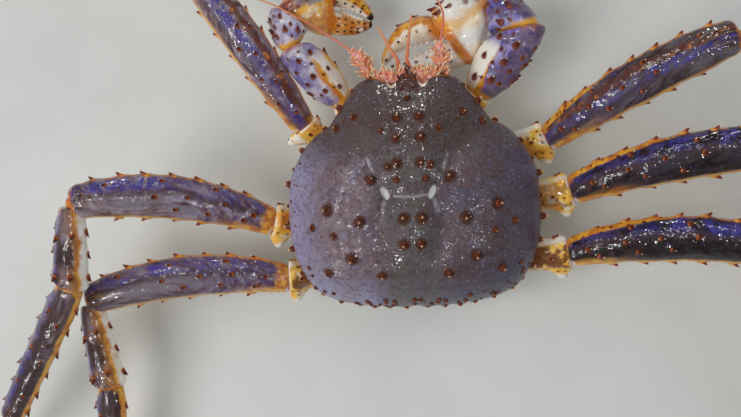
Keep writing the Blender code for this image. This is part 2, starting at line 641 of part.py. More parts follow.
class Segment:
    """A limb segment: a bowed tube between two joint planes."""

    def __init__(self, start, end, shape, face, side, bow=(0, 0, 0)):
        self.start, self.end = vec(start), vec(end)
        self.shape, self.bow = shape, vec(bow)
        self.along, self.breadth, self.thick = segment_frame(self.start, self.end, vec(face), side)
        self.chord = self.end - self.start
        self.length = np.linalg.norm(self.chord)
        self.first_plane = self.tangent(0.0)
        self.last_plane = self.tangent(1.0)
        self.first_gap = self.last_gap = JOINT_GAP / 2

    def centre(self, t):
        """Point of the centre line."""
        return self.start + self.chord * t + self.bow * 4 * t * (1 - t)

    def tangent(self, t):
        """Direction of the centre line."""
        return unit(self.chord + self.bow * 4 * (1 - 2 * t))

    def ring(self, t, sides):
        """Points of the cross-section at a share of the length, tilted to the joint planes near the ends."""
        half_broad, half_thick = at(self.shape, t)
        middle, along = self.centre(t), self.tangent(t)
        near = TILT_REACH * max(half_broad, half_thick)
        tilt_start = max(0.0, 1 - t * self.length / near) ** TILT_POWER
        tilt_end = max(0.0, 1 - (1 - t) * self.length / near) ** TILT_POWER
        plane = unit(along * (1 - tilt_start - tilt_end) + self.first_plane * tilt_start
                     + self.last_plane * tilt_end)
        if t <= 0:
            middle = middle + self.first_plane * self.first_gap
            plane = self.first_plane
        if t >= 1:
            middle = middle - self.last_plane * self.last_gap
            plane = self.last_plane
        points = []
        for k in range(sides):
            angle = 2 * math.pi * k / sides
            arm = self.breadth * half_broad * math.cos(angle) + self.thick * half_thick * math.sin(angle)
            arm = arm - along * (arm @ plane) / (along @ plane)
            points.append(middle + arm)
        return points

    def surface(self, t, degrees):
        """Surface point, outward direction and centre-line direction."""
        half_broad, half_thick = at(self.shape, t)
        angle = math.radians(degrees)
        c, s = math.cos(angle), math.sin(angle)
        point = self.centre(t) + self.breadth * half_broad * c + self.thick * half_thick * s
        out = unit(self.breadth * c / half_broad + self.thick * s / half_thick)
        return point, out, self.tangent(t)

    def body(self, name, slot, sides=RING_SIDES):
        """The mesh object of the segment."""
        return loft(name, [self.ring(row[0], sides) for row in self.shape], slot)

    def face_breadth(self, wanted):
        """Turns the broad side of the segment as near as it can to a direction."""
        self.breadth = unit(wanted - self.along * (wanted @ self.along))
        self.thick = np.cross(self.along, self.breadth)

    def outline(self):
        """Points of the centre line and the half breadth at each."""
        shares = np.linspace(0, 1, OUTLINE_SHARES)
        return vec([self.centre(t) for t in shares]), vec([max(at(self.shape, t)) for t in shares])

    def free(self, root, tip, neighbours):
        """True where a spine keeps between the joint planes and clear of the other limbs."""
        for point in (root, tip):
            if (point - self.start) @ self.first_plane < SPINE_CLEARANCE:
                return False
            if (self.end - point) @ self.last_plane < SPINE_CLEARANCE:
                return False
        for centres, halves in neighbours:
            if (np.linalg.norm(centres - tip, axis=1) < halves + SPINE_CLEARANCE).any():
                return False
        return True

    def spines(self, rows, dice, slot, scale, neighbours):
        """Cones in rows along the segment, leaning to its far end."""
        made = []
        for degrees, count, first, last, length in rows:
            for k in range(count):
                share = first + (last - first) * (k / (count - 1) if count > 1 else 0.0)
                share += dice.uniform(-SHARE_WANDER, SHARE_WANDER)
                turn = dice.uniform(-ANGLE_WANDER, ANGLE_WANDER)
                point, out, along = self.surface(share, degrees + turn)
                out = unit(out + along * SPINE_LEAN)
                tall = length * scale * dice.uniform(*LIMB_LENGTHS)
                if self.free(point - out * SPINE_ROOT, point + out * tall, neighbours):
                    made.append(spine(point, out, tall, tall * LIMB_SPINE_FATNESS, slot))
        return made


def chain(points, shapes, face, side, root_plane, bows):
    """Segments through a line of joints, meeting on the planes halfway between their directions."""
    segments = [
        Segment(a, b, shape, face, side, bow)
        for a, b, shape, bow in zip(points, points[1:], shapes, bows)
    ]
    segments[0].first_plane, segments[0].first_gap = root_plane, JOINT_GAP
    for before, after in zip(segments, segments[1:]):
        plane = unit(before.last_plane + after.first_plane)
        before.last_plane = after.first_plane = plane
    return segments


def plan_leg(name, leg):
    """The six segments of a walking leg by the names of their pieces."""
    side = -1 if name.endswith("left") else 1
    root, plane = facet_root(leg["facet"], side)
    points = [root, *(vec(p) for p in leg["joints"])]
    shapes = [
        [(t, a * leg["scale"], b * leg["scale"]) for t, a, b in SEGMENT_SHAPES[kind]]
        for kind in LEG_SEGMENTS
    ]
    bows = [leg["bow"] if kind == "merus" else SEGMENT_BOW.get(kind, (0, 0, 0)) for kind in LEG_SEGMENTS]
    segments = chain(points, shapes, LEG_FACE, side, plane, bows)
    return {f"{name}_{kind}": segment for kind, segment in zip(LEG_SEGMENTS, segments)}


def make_leg(name, leg, plan, dice):
    """A walking leg of six pieces."""
    for kind in LEG_SEGMENTS:
        part = f"{name}_{kind}"
        slot = "joint_shell" if kind in ("coxa", "ischium") else "leg_shell"
        made = plan[part].body(part, slot, DACTYL_SIDES if kind == "dactyl" else RING_SIDES)
        if kind == "dactyl":
            stand_on_floor(made)
        rows, clear_of = SEGMENT_SPINES[kind], neighbours(plan, part)
        combine(made, plan[part].spines(rows, dice, slot, leg["scale"], clear_of))


def plan_claw(name, claw):
    """The segments of a claw leg and its two fingers by the names of their pieces."""
    side = -1 if name.endswith("left") else 1
    size = claw["size"]
    shapes = {kind: [(t, a * size, b * size) for t, a, b in rows] for kind, rows in CLAW_SHAPES.items()}
    root, plane = facet_root(claw["facet"], side)
    points = [root, *(vec(p) for p in claw["joints"])]
    straight = [(0, 0, 0)] * len(CLAW_SEGMENTS)
    segments = chain(points, [shapes[kind] for kind in CLAW_SEGMENTS], CLAW_FACE, side, plane, straight)
    palm = segments[-1]
    palm.face_breadth(unit(vec(claw["up"])))
    half = at(palm.shape, 1.0)[0]
    made = {f"{name}_{kind}": segment for kind, segment in zip(CLAW_SEGMENTS, segments)}
    for word, sign, bow in (("finger", 1, claw["finger_bow"][0]), ("fixed", -1, claw["finger_bow"][1])):
        across = palm.breadth * sign
        start = palm.end + across * half * FINGER_PLACE
        end = vec(claw["finger_tip"]) + across * claw["tip_gap"]
        finger = Segment(start, end, shapes["finger"], palm.thick, 1, across * bow)
        finger.face_breadth(across)
        finger.first_plane = palm.last_plane
        made[f"{name}_{word}"] = finger
    made[f"{name}_fixed"].first_gap = -FIXED_FINGER_ROOT
    return made


def make_claw(name, claw, plan, dice):
    """A claw leg: four joints, the palm with its fixed finger, and the movable finger."""
    size, teeth = claw["size"], claw["teeth"]
    for kind in (*CLAW_SEGMENTS, "finger"):
        part = f"{name}_{kind}"
        slot = "joint_shell" if kind in ("coxa", "ischium") else "claw_shell"
        made = plan[part].body(part, slot, PALM_SIDES if kind == "palm" else RING_SIDES)
        growths = []
        if kind == "palm":
            fixed = plan[f"{name}_fixed"]
            growths.append(fixed.body("fixed_finger", slot))
            growths += teeth_row(fixed, FIXED_TEETH_START, teeth, size)
        if kind == "finger":
            growths = teeth_row(plan[part], FINGER_TEETH_START, teeth, size)
        growths += plan[part].spines(CLAW_SPINES[kind], dice, slot, size, neighbours(plan, part))
        combine(made, growths)


def neighbours(plan, part):
    """Outlines of the limb segments that a part doesn't touch, for its spines to keep clear of."""
    mine = plan[part]
    far = []
    for name, segment in plan.items():
        meets = min(np.linalg.norm(a - b) for a in (mine.start, mine.end)
                    for b in (segment.start, segment.end))
        if name != part and meets > JOINT_REACH:
            far.append(segment.outline())
    return far


def teeth_row(segment, start, count, size):
    """Blunt teeth on the biting edge of a finger."""
    radius, height = TOOTH
    made = []
    for k in range(count):
        point, out, _ = segment.surface(start + TEETH_REACH * k / count, 180)
        made.append(spine(point, out, height * size, radius * size, "claw_shell"))
    return made


def tube(name, points, radii, slot, sides=FEELER_SIDES, first_plane=None):
    """A bent tube through points, with a radius at each, its first ring on a plane."""
    line = [vec(p) for p in points]
    rings = []
    side = vec((1.0, 0.0, 0.0))
    for k, (point, radius) in enumerate(zip(line, radii)):
        along = unit(line[min(k + 1, len(line) - 1)] - line[max(k - 1, 0)])
        side = unit(side - along * (side @ along))
        other = np.cross(along, side)
        plane = first_plane if k == 0 and first_plane is not None else along
        ring = []
        for n in range(sides):
            angle = 2 * math.pi * n / sides
            arm = radius * (side * math.cos(angle) + other * math.sin(angle))
            ring.append(point + arm - along * (arm @ plane) / (along @ plane))
        rings.append(ring)
    return loft(name, rings, slot)


def face_root(half_x, z, side):
    """A point on the front of the head block, a joint gap off it."""
    return (side * half_x, HEAD_FRONT_Y + JOINT_GAP, z)


def make_face():
    """Eyes, antennules, antennae with their flagella, and mouth limbs."""
    forward = vec((0.0, 1.0, 0.0))
    for word, side in (("left", -1), ("right", 1)):
        root = face_root(*EYE["root"], side)
        tip = vec(EYE["tip"]) * vec((side, 1, 1))
        line = [vec(root) + (tip - vec(root)) * t for t, _ in EYE["shape"]]
        tube(f"eye_{word}", line, [a for _, a in EYE["shape"]], "eye", RING_SIDES, forward)
        root = face_root(*ANTENNULE["root"], side)
        tube(f"antennule_{word}", [root, *ANTENNULE[word]], ANTENNULE["radii"], "feeler",
             first_plane=forward)
        root = face_root(*ANTENNA["root"], side)
        stalk = tube(f"antenna_{word}", [root, *ANTENNA[word]], ANTENNA["radii"], "feeler", RING_SIDES,
                     forward)
        growths = [tube("flagellum", FLAGELLUM[word], FLAGELLUM["radii"], "feeler", FLAGELLUM_SIDES)]
        middle = vec(ANTENNA[word][1])
        for direction, length in ACICLE_SPINES:
            out = unit(vec(direction) * vec((side, 1, 1)))
            growths.append(spine(middle + out * ACICLE_LIFT, out, length, ACICLE_RADIUS, "feeler"))
        combine(stalk, growths)
        root = face_root(*MAXILLIPED["root"], side)
        path = [vec(p) * vec((side, 1, 1)) for p in MAXILLIPED["path"]]
        tube(f"maxilliped_{word}", [root, *path], MAXILLIPED["radii"], "feeler",
             first_plane=forward)


def shade(target):
    """Smooth shading with the sharp edges kept."""
    target.data.shade_smooth()
    target.data.set_sharp_from_angle(angle=math.radians(SHARP_ANGLE))


def main():
    """Clears the file and makes every piece of the crab."""
    for old in list(bpy.data.objects):
        bpy.data.objects.remove(old)
    dice = random.Random(SPINE_SEED)
    make_carapace(dice)
    make_thorax()
    make_head()
    make_abdomen()
    plan = {}
    for name, leg in LEGS.items():
        plan.update(plan_leg(name, leg))
    for name, claw in CLAWS.items():
        plan.update(plan_claw(name, claw))
    for name, leg in LEGS.items():
        make_leg(name, leg, plan, dice)
    for name, claw in CLAWS.items():
        make_claw(name, claw, plan, dice)
    make_face()
    for made in bpy.data.objects:
        shade(made)


main()
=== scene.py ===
import logging
import math
import random
from dataclasses import dataclass, field, replace
from enum import Enum

import bmesh
import bpy
import numpy as np
from mathutils import Matrix, Vector


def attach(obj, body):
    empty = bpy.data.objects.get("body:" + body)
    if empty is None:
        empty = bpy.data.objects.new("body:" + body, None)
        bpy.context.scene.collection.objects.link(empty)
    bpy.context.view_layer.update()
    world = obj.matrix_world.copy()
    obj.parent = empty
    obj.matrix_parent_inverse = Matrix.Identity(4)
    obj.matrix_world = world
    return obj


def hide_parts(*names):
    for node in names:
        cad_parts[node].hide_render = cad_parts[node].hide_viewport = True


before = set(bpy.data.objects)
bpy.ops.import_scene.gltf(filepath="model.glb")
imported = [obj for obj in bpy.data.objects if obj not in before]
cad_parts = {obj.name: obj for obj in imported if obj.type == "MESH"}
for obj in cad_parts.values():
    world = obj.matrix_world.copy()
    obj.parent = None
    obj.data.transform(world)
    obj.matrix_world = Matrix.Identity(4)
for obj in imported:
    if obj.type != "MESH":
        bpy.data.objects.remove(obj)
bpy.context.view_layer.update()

log = logging.getLogger("crab")

# Lengths are in millimetres and angles in degrees until a mesh is made. +X is the crab's right, +Y is
# forward, +Z is up, and the floor is z = 0.
MM = 0.001
BODY = "root"
SPINE_SEED = 7
DETAIL_SEED = 31

Array = np.ndarray
Point = tuple[float, float, float]
Faces = list[tuple[int, ...]]


class Side(Enum):
    """The two sides of the crab."""

    LEFT = -1
    RIGHT = 1

    @property
    def word(self) -> str:
        """The side in lower case."""
        return self.name.lower()


class Slot(Enum):
    """The record's finishes."""

    BACK = "back_shell"
    LEG = "leg_shell"
    CLAW = "claw_shell"
    JOINT = "joint_shell"
    PALE = "pale_shell"
    FEELER = "feeler"
    EYE = "eye"


# Plain helpers


def vec(values: object) -> Array:
    """An array of floats."""
    return np.array(values, float)


def unit(v: Array) -> Array:
    """Vectors made one long, along the last axis."""
    return v / np.linalg.norm(v, axis=-1, keepdims=True)


def ease(x: Array | float) -> Array:
    """Eases from 0 to 1."""
    x = np.clip(x, 0.0, 1.0)
    return x * x * (3 - 2 * x)


def bell(distance: Array, width: float) -> Array:
    """A soft bump of height 1 that falls off over a width."""
    return np.exp(-((distance / width) ** 2))


def flowing(stations: object, t: Array) -> Array:
    """Reads a smooth curve through stations whose first value is the share of the length.

    Args:
        stations: rows of a share and the values there.
        t: the shares wanted.

    Returns:
        One row of values for each share.
    """
    table = vec(stations)
    x, y = table[:, 0], table[:, 1:]
    t = np.clip(np.atleast_1d(t), 0, 1)
    step = np.diff(x)[:, None]
    slope = np.diff(y, axis=0) / step
    tangent = np.zeros_like(y)
    tangent[0], tangent[-1] = slope[0], slope[-1]
    agree = slope[:-1] * slope[1:] > 0
    tangent[1:-1] = np.where(agree, 2 * slope[:-1] * slope[1:] / (slope[:-1] + slope[1:] + 1e-12), 0)
    k = np.clip(np.searchsorted(x, t, side="right") - 1, 0, len(x) - 2)
    h = step[k]
    s = ((t - x[k]) / h[:, 0])[:, None]
    return ((1 + 2 * s) * (1 - s) ** 2 * y[k] + s * (1 - s) ** 2 * h * tangent[k]
            + s * s * (3 - 2 * s) * y[k + 1] + s * s * (s - 1) * h * tangent[k + 1])


def run(line: Array) -> Array:
    """How far along an open line each of its points is."""
    return np.concatenate([[0], np.cumsum(np.linalg.norm(np.diff(line, axis=0), axis=1))])


def lumps(points: Array, size: float, seed: int, waves: int = 14) -> Array:
    """A smooth uneven field between about -1 and 1 over points.

    Args:
        points: places, in millimetres, along the last axis.
        size: about how far apart the lumps are.
        seed: which field.
        waves: how many plane waves are added.

    Returns:
        One value for each point.
    """
    dice = np.random.default_rng(seed)
    total = np.zeros(points.shape[:-1])
    for _ in range(waves):
        way = unit(dice.normal(size=3)) * 2 * math.pi / (size * dice.uniform(0.7, 1.5))
        total += np.sin(points @ way + dice.uniform(0, 2 * math.pi))
    return total / math.sqrt(waves) / 1.4


def line_distance(xy: Array, line: object) -> Array:
    """How far points in plan are from an open line of points.

    Args:
        xy: points in plan.
        line: the line's points.

    Returns:
        One distance for each point.
    """
    best = np.full(xy.shape[:-1], 1e9)
    for a, b in zip(line, line[1:]):
        a, b = vec(a), vec(b)
        t = np.clip(((xy - a) @ (b - a)) / ((b - a) @ (b - a)), 0, 1)
        best = np.minimum(best, np.linalg.norm(xy - a - t[..., None] * (b - a), axis=-1))
    return best


# Meshes


def linked(name: str, data: bpy.types.ID) -> bpy.types.Object:
    """An object with its data, linked to the scene."""
    made = bpy.data.objects.new(name, data)
    bpy.context.scene.collection.objects.link(made)
    return made


def mesh_object(
    name: str, points: Array, faces: list, values: dict[str, Array] | None = None
) -> bpy.types.Object:
    """A smooth mesh object from points in millimetres, with its faces turned outwards.

    Args:
        name: the object's name.
        points: one row for each vertex.
        faces: vertex numbers of each face.
        values: attributes, one value for each vertex.

    Returns:
        The object, linked to the scene.
    """
    mesh = bpy.data.meshes.new(name)
    mesh.from_pydata((vec(points) * MM).tolist(), [], faces)
    shape = bmesh.new()
    shape.from_mesh(mesh)
    bmesh.ops.recalc_face_normals(shape, faces=shape.faces)
    shape.to_mesh(mesh)
    shape.free()
    mesh.shade_smooth()
    made = linked(name, mesh)
    paint(made, values or {})
    return made


def skin(name: str, rings: Array, values: dict[str, Array] | None = None) -> bpy.types.Object:
    """A closed skin over rings of points, with a point at the middle of each end.

    Args:
        name: the object's name.
        rings: points by ring, then round the ring.
        values: attributes, one value for each point of each ring.

    Returns:
        The object.
    """
    count, sides = rings.shape[:2]
    points = np.concatenate([rings.reshape(-1, 3), rings[:1].mean(axis=1), rings[-1:].mean(axis=1)])
    faces = []
    for row in range(count - 1):
        low = row * sides
        for k in range(sides):
            n = (k + 1) % sides
            faces.append((low + k, low + n, low + sides + n, low + sides + k))
    first, last = count * sides, count * sides + 1
    top = (count - 1) * sides
    for k in range(sides):
        n = (k + 1) % sides
        faces.append((first, n, k))
        faces.append((last, top + k, top + n))
    spread = {}
    for label, data in (values or {}).items():
        data = np.broadcast_to(data, (count, sides))
        spread[label] = np.concatenate([data.ravel(), [data[0].mean()], [data[-1].mean()]])
    return mesh_object(name, points, faces, spread)


def joined(name: str, parts: list[bpy.types.Object]) -> bpy.types.Object:
    """Several meshes in one smooth object; the parts are removed.

    Args:
        name: the new object's name.
        parts: the meshes.

    Returns:
        The new object.
    """
    shape = bmesh.new()
    for part in parts:
        shape.from_mesh(part.data)
        bpy.data.objects.remove(part)
    mesh = bpy.data.meshes.new(name)
    shape.to_mesh(mesh)
    shape.free()
    mesh.shade_smooth()
    return linked(name, mesh)


def blended(name: str, parts: list[bpy.types.Object], voxel: float, rounds: int) -> bpy.types.Object:
    """Several closed meshes grown into one skin.

    Args:
        name: the new object's name.
        parts: the meshes, which are removed.
        voxel: the size of the cells it is made from, in millimetres.
        rounds: how often it is smoothed.

    Returns:
        The new object.
    """
    made = joined(name, parts)
    grow = made.modifiers.new("grow together", "REMESH")
    grow.mode = "VOXEL"
    grow.voxel_size = voxel * MM
    soften = made.modifiers.new("soften", "SMOOTH")
    soften.factor = 0.5
    soften.iterations = rounds
    settled(made)
    made.data.shade_smooth()
    return made


def settled(target: bpy.types.Object) -> None:
    """Turns an object's modifiers into a plain mesh."""
    depsgraph = bpy.context.evaluated_depsgraph_get()
    mesh = bpy.data.meshes.new_from_object(target.evaluated_get(depsgraph))
    target.modifiers.clear()
    target.data = mesh


def places(target: bpy.types.Object) -> Array:
    """A mesh's vertices in millimetres."""
    flat = np.zeros(len(target.data.vertices) * 3, np.float32)
    target.data.vertices.foreach_get("co", flat)
    return flat.reshape(-1, 3).astype(float) / MM


def reshape(target: bpy.types.Object, points: Array) -> None:
    """Moves a mesh's vertices to new places in millimetres."""
    target.data.vertices.foreach_set("co", (points * MM).astype(np.float32).ravel())
    target.data.update()


def paint(target: bpy.types.Object, values: dict[str, Array]) -> None:
    """Writes an attribute for each vertex of a mesh."""
    for label, data in values.items():
        layer = target.data.attributes.get(label) or target.data.attributes.new(label, "FLOAT", "POINT")
        layer.data.foreach_set("value", np.ravel(data).astype(np.float32))


def dress(
    target: bpy.types.Object, material: bpy.types.Material, slot: Slot, *nodes: str
) -> bpy.types.Object:
    """Gives a piece its material and ties it to the frame.

    Args:
        target: the piece.
        material: its only material.
        slot: not used.
        nodes: the solids that it stands for.

    Returns:
        The piece.
    """
    target.data.materials.clear()
    target.data.materials.append(material)
    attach(target, BODY)
    if nodes:
        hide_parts(*nodes)
    log.info("%s: %d points", target.name, len(target.data.vertices))
    return target


# Node trees


class Nodes:
    """A node tree that is put together from short calls."""

    def __init__(self, tree: bpy.types.NodeTree) -> None:
        """Takes the tree to work on."""
        self.tree = tree

    def plug(self, socket: bpy.types.NodeSocket, value: object) -> None:
        """Links an input to an output, or sets it to a colour, number or truth."""
        if isinstance(value, bpy.types.NodeSocket):
            self.tree.links.new(value, socket)
        else:
            socket.default_value = (*value, 1.0) if isinstance(value, tuple) else value

    def add(self, kind: str, inputs: dict | None = None, **settings: object) -> bpy.types.Node:
        """Adds a node.

        Args:
            kind: its type.
            inputs: what its inputs are linked or set to, by name or number.
            settings: its other settings.

        Returns:
            The node.
        """
        node = self.tree.nodes.new(kind)
        for key, value in settings.items():
            setattr(node, key, value)
        for key, value in (inputs or {}).items():
            self.plug(node.inputs[key], value)
        return node

    def maths(self, operation: str, a: object, b: object = 0.0) -> bpy.types.NodeSocket:
        """Arithmetic on two values."""
        return self.add("ShaderNodeMath", {0: a, 1: b}, operation=operation).outputs[0]


class Grower(Nodes):
    """A Geometry Nodes tree with named inputs, which ends in real geometry with its finish."""

    def __init__(self, label: str, takes: str, **numbers: float) -> None:
        """Starts the tree.

        Args:
            label: its name.
            takes: the name of the geometry that it takes.
            numbers: the first value of each other input.
        """
        super().__init__(bpy.data.node_groups.new(label, "GeometryNodeTree"))
        self.tree.is_modifier = True
        face = self.tree.interface
        face.new_socket(takes, in_out="INPUT", socket_type="NodeSocketGeometry")
        for name, value in numbers.items():
            kind = "NodeSocketInt" if isinstance(value, int) else "NodeSocketFloat"
            face.new_socket(name, in_out="INPUT", socket_type=kind).default_value = value
        face.new_socket("Finish", in_out="INPUT", socket_type="NodeSocketMaterial")
        face.new_socket("Result", in_out="OUTPUT", socket_type="NodeSocketGeometry")
        self.given = self.add("NodeGroupInput").outputs

    def named(self, label: str, kind: str = "FLOAT_VECTOR") -> bpy.types.NodeSocket:
        """An attribute of the mesh."""
        node = self.add("GeometryNodeInputNamedAttribute", {"Name": label}, data_type=kind)
        return node.outputs["Attribute"]

    def finish(self, geometry: bpy.types.NodeSocket) -> bpy.types.NodeTree:
        """Makes the geometry real and smooth, and gives it the finish.

        Args:
            geometry: what the tree has made.

        Returns:
            The tree.
        """
        real = self.add("GeometryNodeRealizeInstances", {0: geometry})
        smooth = self.add("GeometryNodeSetShadeSmooth", {"Geometry": real.outputs[0]})
        coat = self.add("GeometryNodeSetMaterial", {
            "Geometry": smooth.outputs[0], "Material": self.given["Finish"]})
        self.add("NodeGroupOutput", {0: coat.outputs[0]})
        return self.tree


def grown(target: bpy.types.Object, tree: bpy.types.NodeTree, inputs: dict[str, object]) -> bpy.types.Object:
    """Runs a mesh through a tree and turns the result into a plain mesh.

    Args:
        target: the object.
        tree: the Geometry Nodes tree.
        inputs: the tree's inputs by name.

    Returns:
        The object.
    """
    change = target.modifiers.new(tree.name, "NODES")
    change.node_group = tree
    sockets = {item.name: item.identifier for item in tree.interface.items_tree}
    for name, value in inputs.items():
        change[sockets[name]] = value
    settled(target)
    return target


# Growths: spines, teeth, bristles and feelers


@dataclass(frozen=True)
class Growth:
    """A spine, tooth or bristle: where it stands, which way, and how long and wide it is."""

    root: Array
    out: Array
    lean: Array
    tall: float
    wide: float


@dataclass(frozen=True)
class GrowthStyle:
    """The form of one kind of growth, as inputs of its tree."""

    label: str
    sides: int = 10
    rows: int = 7
    hook: float = 0.16
    profile: tuple[tuple[float, float], ...] = ((0, 1.0), (1, 0.06))
    sunk: float = 0.12

    def tree(self) -> bpy.types.NodeTree:
        """The Geometry Nodes tree that stands one growth on every point, made once."""
        if self.label in bpy.data.node_groups:
            return bpy.data.node_groups[self.label]
        g = Grower(self.label, "Points", Sides=self.sides, Rows=self.rows, Hook=self.hook, Sunk=self.sunk)
        column = g.add("GeometryNodeMeshCylinder", {
            "Radius": 1.0, "Depth": 1.0, "Vertices": g.given["Sides"], "Side Segments": g.given["Rows"]})
        where = g.add("ShaderNodeSeparateXYZ", {0: g.add("GeometryNodeInputPosition").outputs[0]}).outputs
        height = g.maths("ADD", where["Z"], 0.5)
        reach = g.add("ShaderNodeFloatCurve", {"Value": height})
        curve = reach.mapping.curves[0]
        curve.points[0].location, curve.points[-1].location = self.profile[0], self.profile[-1]
        for spot in self.profile[1:-1]:
            curve.points.new(*spot)
        reach.mapping.update()
        bend = g.maths("MULTIPLY", g.maths("MULTIPLY", height, height), g.given["Hook"])
        ends = g.add("ShaderNodeCombineXYZ", {
            "X": g.maths("ADD", g.maths("MULTIPLY", where["X"], reach.outputs[0]), bend),
            "Y": g.maths("MULTIPLY", where["Y"], reach.outputs[0]),
            "Z": g.maths("SUBTRACT", height, g.given["Sunk"])})
        mark = g.add("GeometryNodeStoreNamedAttribute", {
            "Name": "height", "Geometry": column.outputs["Mesh"], "Value": height,
        }, data_type="FLOAT", domain="POINT")
        shape = g.add("GeometryNodeSetPosition", {"Geometry": mark.outputs[0], "Position": ends.outputs[0]})
        upright = g.add("FunctionNodeAlignRotationToVector", {"Vector": g.named("out")}, axis="Z")
        turned = g.add("FunctionNodeAlignRotationToVector", {
            "Rotation": upright.outputs[0], "Vector": g.named("lean")}, axis="X", pivot_axis="Z")
        stand = g.add("GeometryNodeInstanceOnPoints", {
            "Points": g.given["Points"], "Instance": shape.outputs[0], "Rotation": turned.outputs[0],
            "Scale": g.named("size")})
        return g.finish(stand.outputs[0])

    def grow(self, name: str, growths: list[Growth], material: bpy.types.Material) -> bpy.types.Object:
        """Stands growths on a mesh of bare points and turns the result into a plain mesh.

        Args:
            name: the new object's name.
            growths: one for each point.
            material: the finish of all of them.

        Returns:
            The object.
        """
        mesh = bpy.data.meshes.new(name)
        mesh.from_pydata([tuple(g.root * MM) for g in growths], [], [])
        for label, rows in (("out", [g.out for g in growths]), ("lean", [g.lean for g in growths]),
                            ("size", [(g.wide * MM, g.wide * MM, g.tall * MM) for g in growths])):
            layer = mesh.attributes.new(label, "FLOAT_VECTOR", "POINT")
            layer.data.foreach_set("vector", vec(rows).astype(np.float32).ravel())
        return grown(linked(name, mesh), self.tree(), {
            "Sides": self.sides, "Rows": self.rows, "Hook": self.hook, "Sunk": self.sunk, "Finish": material})


SPINE = GrowthStyle(
    "spines", profile=((0, 1.15), (0.12, 0.90), (0.35, 0.55), (0.7, 0.28), (0.92, 0.14), (1, 0.04)))
BOSS = GrowthStyle(
    "bosses", sides=12, rows=9, hook=0.05, sunk=0.16,
    profile=((0, 1.0), (0.14, 0.84), (0.34, 0.62), (0.52, 0.54), (0.62, 0.42), (0.86, 0.30), (1, 0.10)))
KNOB = GrowthStyle(
    "granules", sides=8, rows=4, hook=0.0, sunk=0.2, profile=((0, 1.0), (0.5, 0.8), (0.85, 0.5), (1, 0.15)))
TOOTH = GrowthStyle(
    "teeth", rows=5, hook=0.0, sunk=0.4,
    profile=((0, 1.0), (0.4, 0.98), (0.7, 0.86), (0.9, 0.58), (1, 0.2)))
BRISTLE = GrowthStyle(
    "bristles", sides=4, rows=3, hook=0.25, sunk=0.1, profile=((0, 1.0), (0.5, 0.7), (1, 0.15)))


@dataclass(frozen=True)
class Feeler:
    """A tube that follows a path, with beads along it."""

    label: str = "feelers"
    sides: int = 14
    step: float = 0.6
    bead: int = 3

    def tree(self) -> bpy.types.NodeTree:
        """The Geometry Nodes tree that sweeps a round section along an edge path, made once."""
        if self.label in bpy.data.node_groups:
            return bpy.data.node_groups[self.label]
        g = Grower(self.label, "Path", Sides=self.sides)
        wire = g.add("GeometryNodeMeshToCurve", {0: g.given["Path"]})
        ring = g.add("GeometryNodeCurvePrimitiveCircle", {"Radius": 1.0, "Resolution": g.given["Sides"]})
        sweep = g.add("GeometryNodeCurveToMesh", {
            "Curve": wire.outputs[0], "Profile Curve": ring.outputs["Curve"],
            "Scale": g.named("thick", "FLOAT"), "Fill Caps": True})
        return g.finish(sweep.outputs[0])

    def sweep(self, name: str, paths: list[tuple], material: bpy.types.Material) -> bpy.types.Object:
        """Tubes along smooth paths through points.

        Args:
            name: the new object's name.
            paths: for each tube, its points, its radius at each, and how deep its rings are cut.
            material: the finish.

        Returns:
            The object.
        """
        points, edges, radii, shares = [], [], [], []
        for way, thick, cut in paths:
            way, thick = vec(way), vec(thick)
            reach = run(way)
            count = max(6, int(reach[-1] / self.step))
            t = np.linspace(0, 1, count)
            fine = flowing(np.column_stack([reach / reach[-1], way, thick]), t)
            first = len(points)
            beads = 1 - cut * (np.arange(count) % self.bead == 0)
            ends = np.clip(np.minimum(np.arange(count), np.arange(count)[::-1]) / 2 + 0.35, 0, 1)
            points.extend(fine[:, :3])
            radii.extend(fine[:, 3] * beads * ends)
            shares.extend(t)
            edges.extend((first + k, first + k + 1) for k in range(count - 1))
        mesh = bpy.data.meshes.new(name)
        mesh.from_pydata((vec(points) * MM).tolist(), edges, [])
        made = linked(name, mesh)
        paint(made, {"thick": vec(radii) * MM, "along": vec(shares)})
        return grown(made, self.tree(), {"Sides": self.sides, "Finish": material})


FEELER = Feeler()


# Limbs


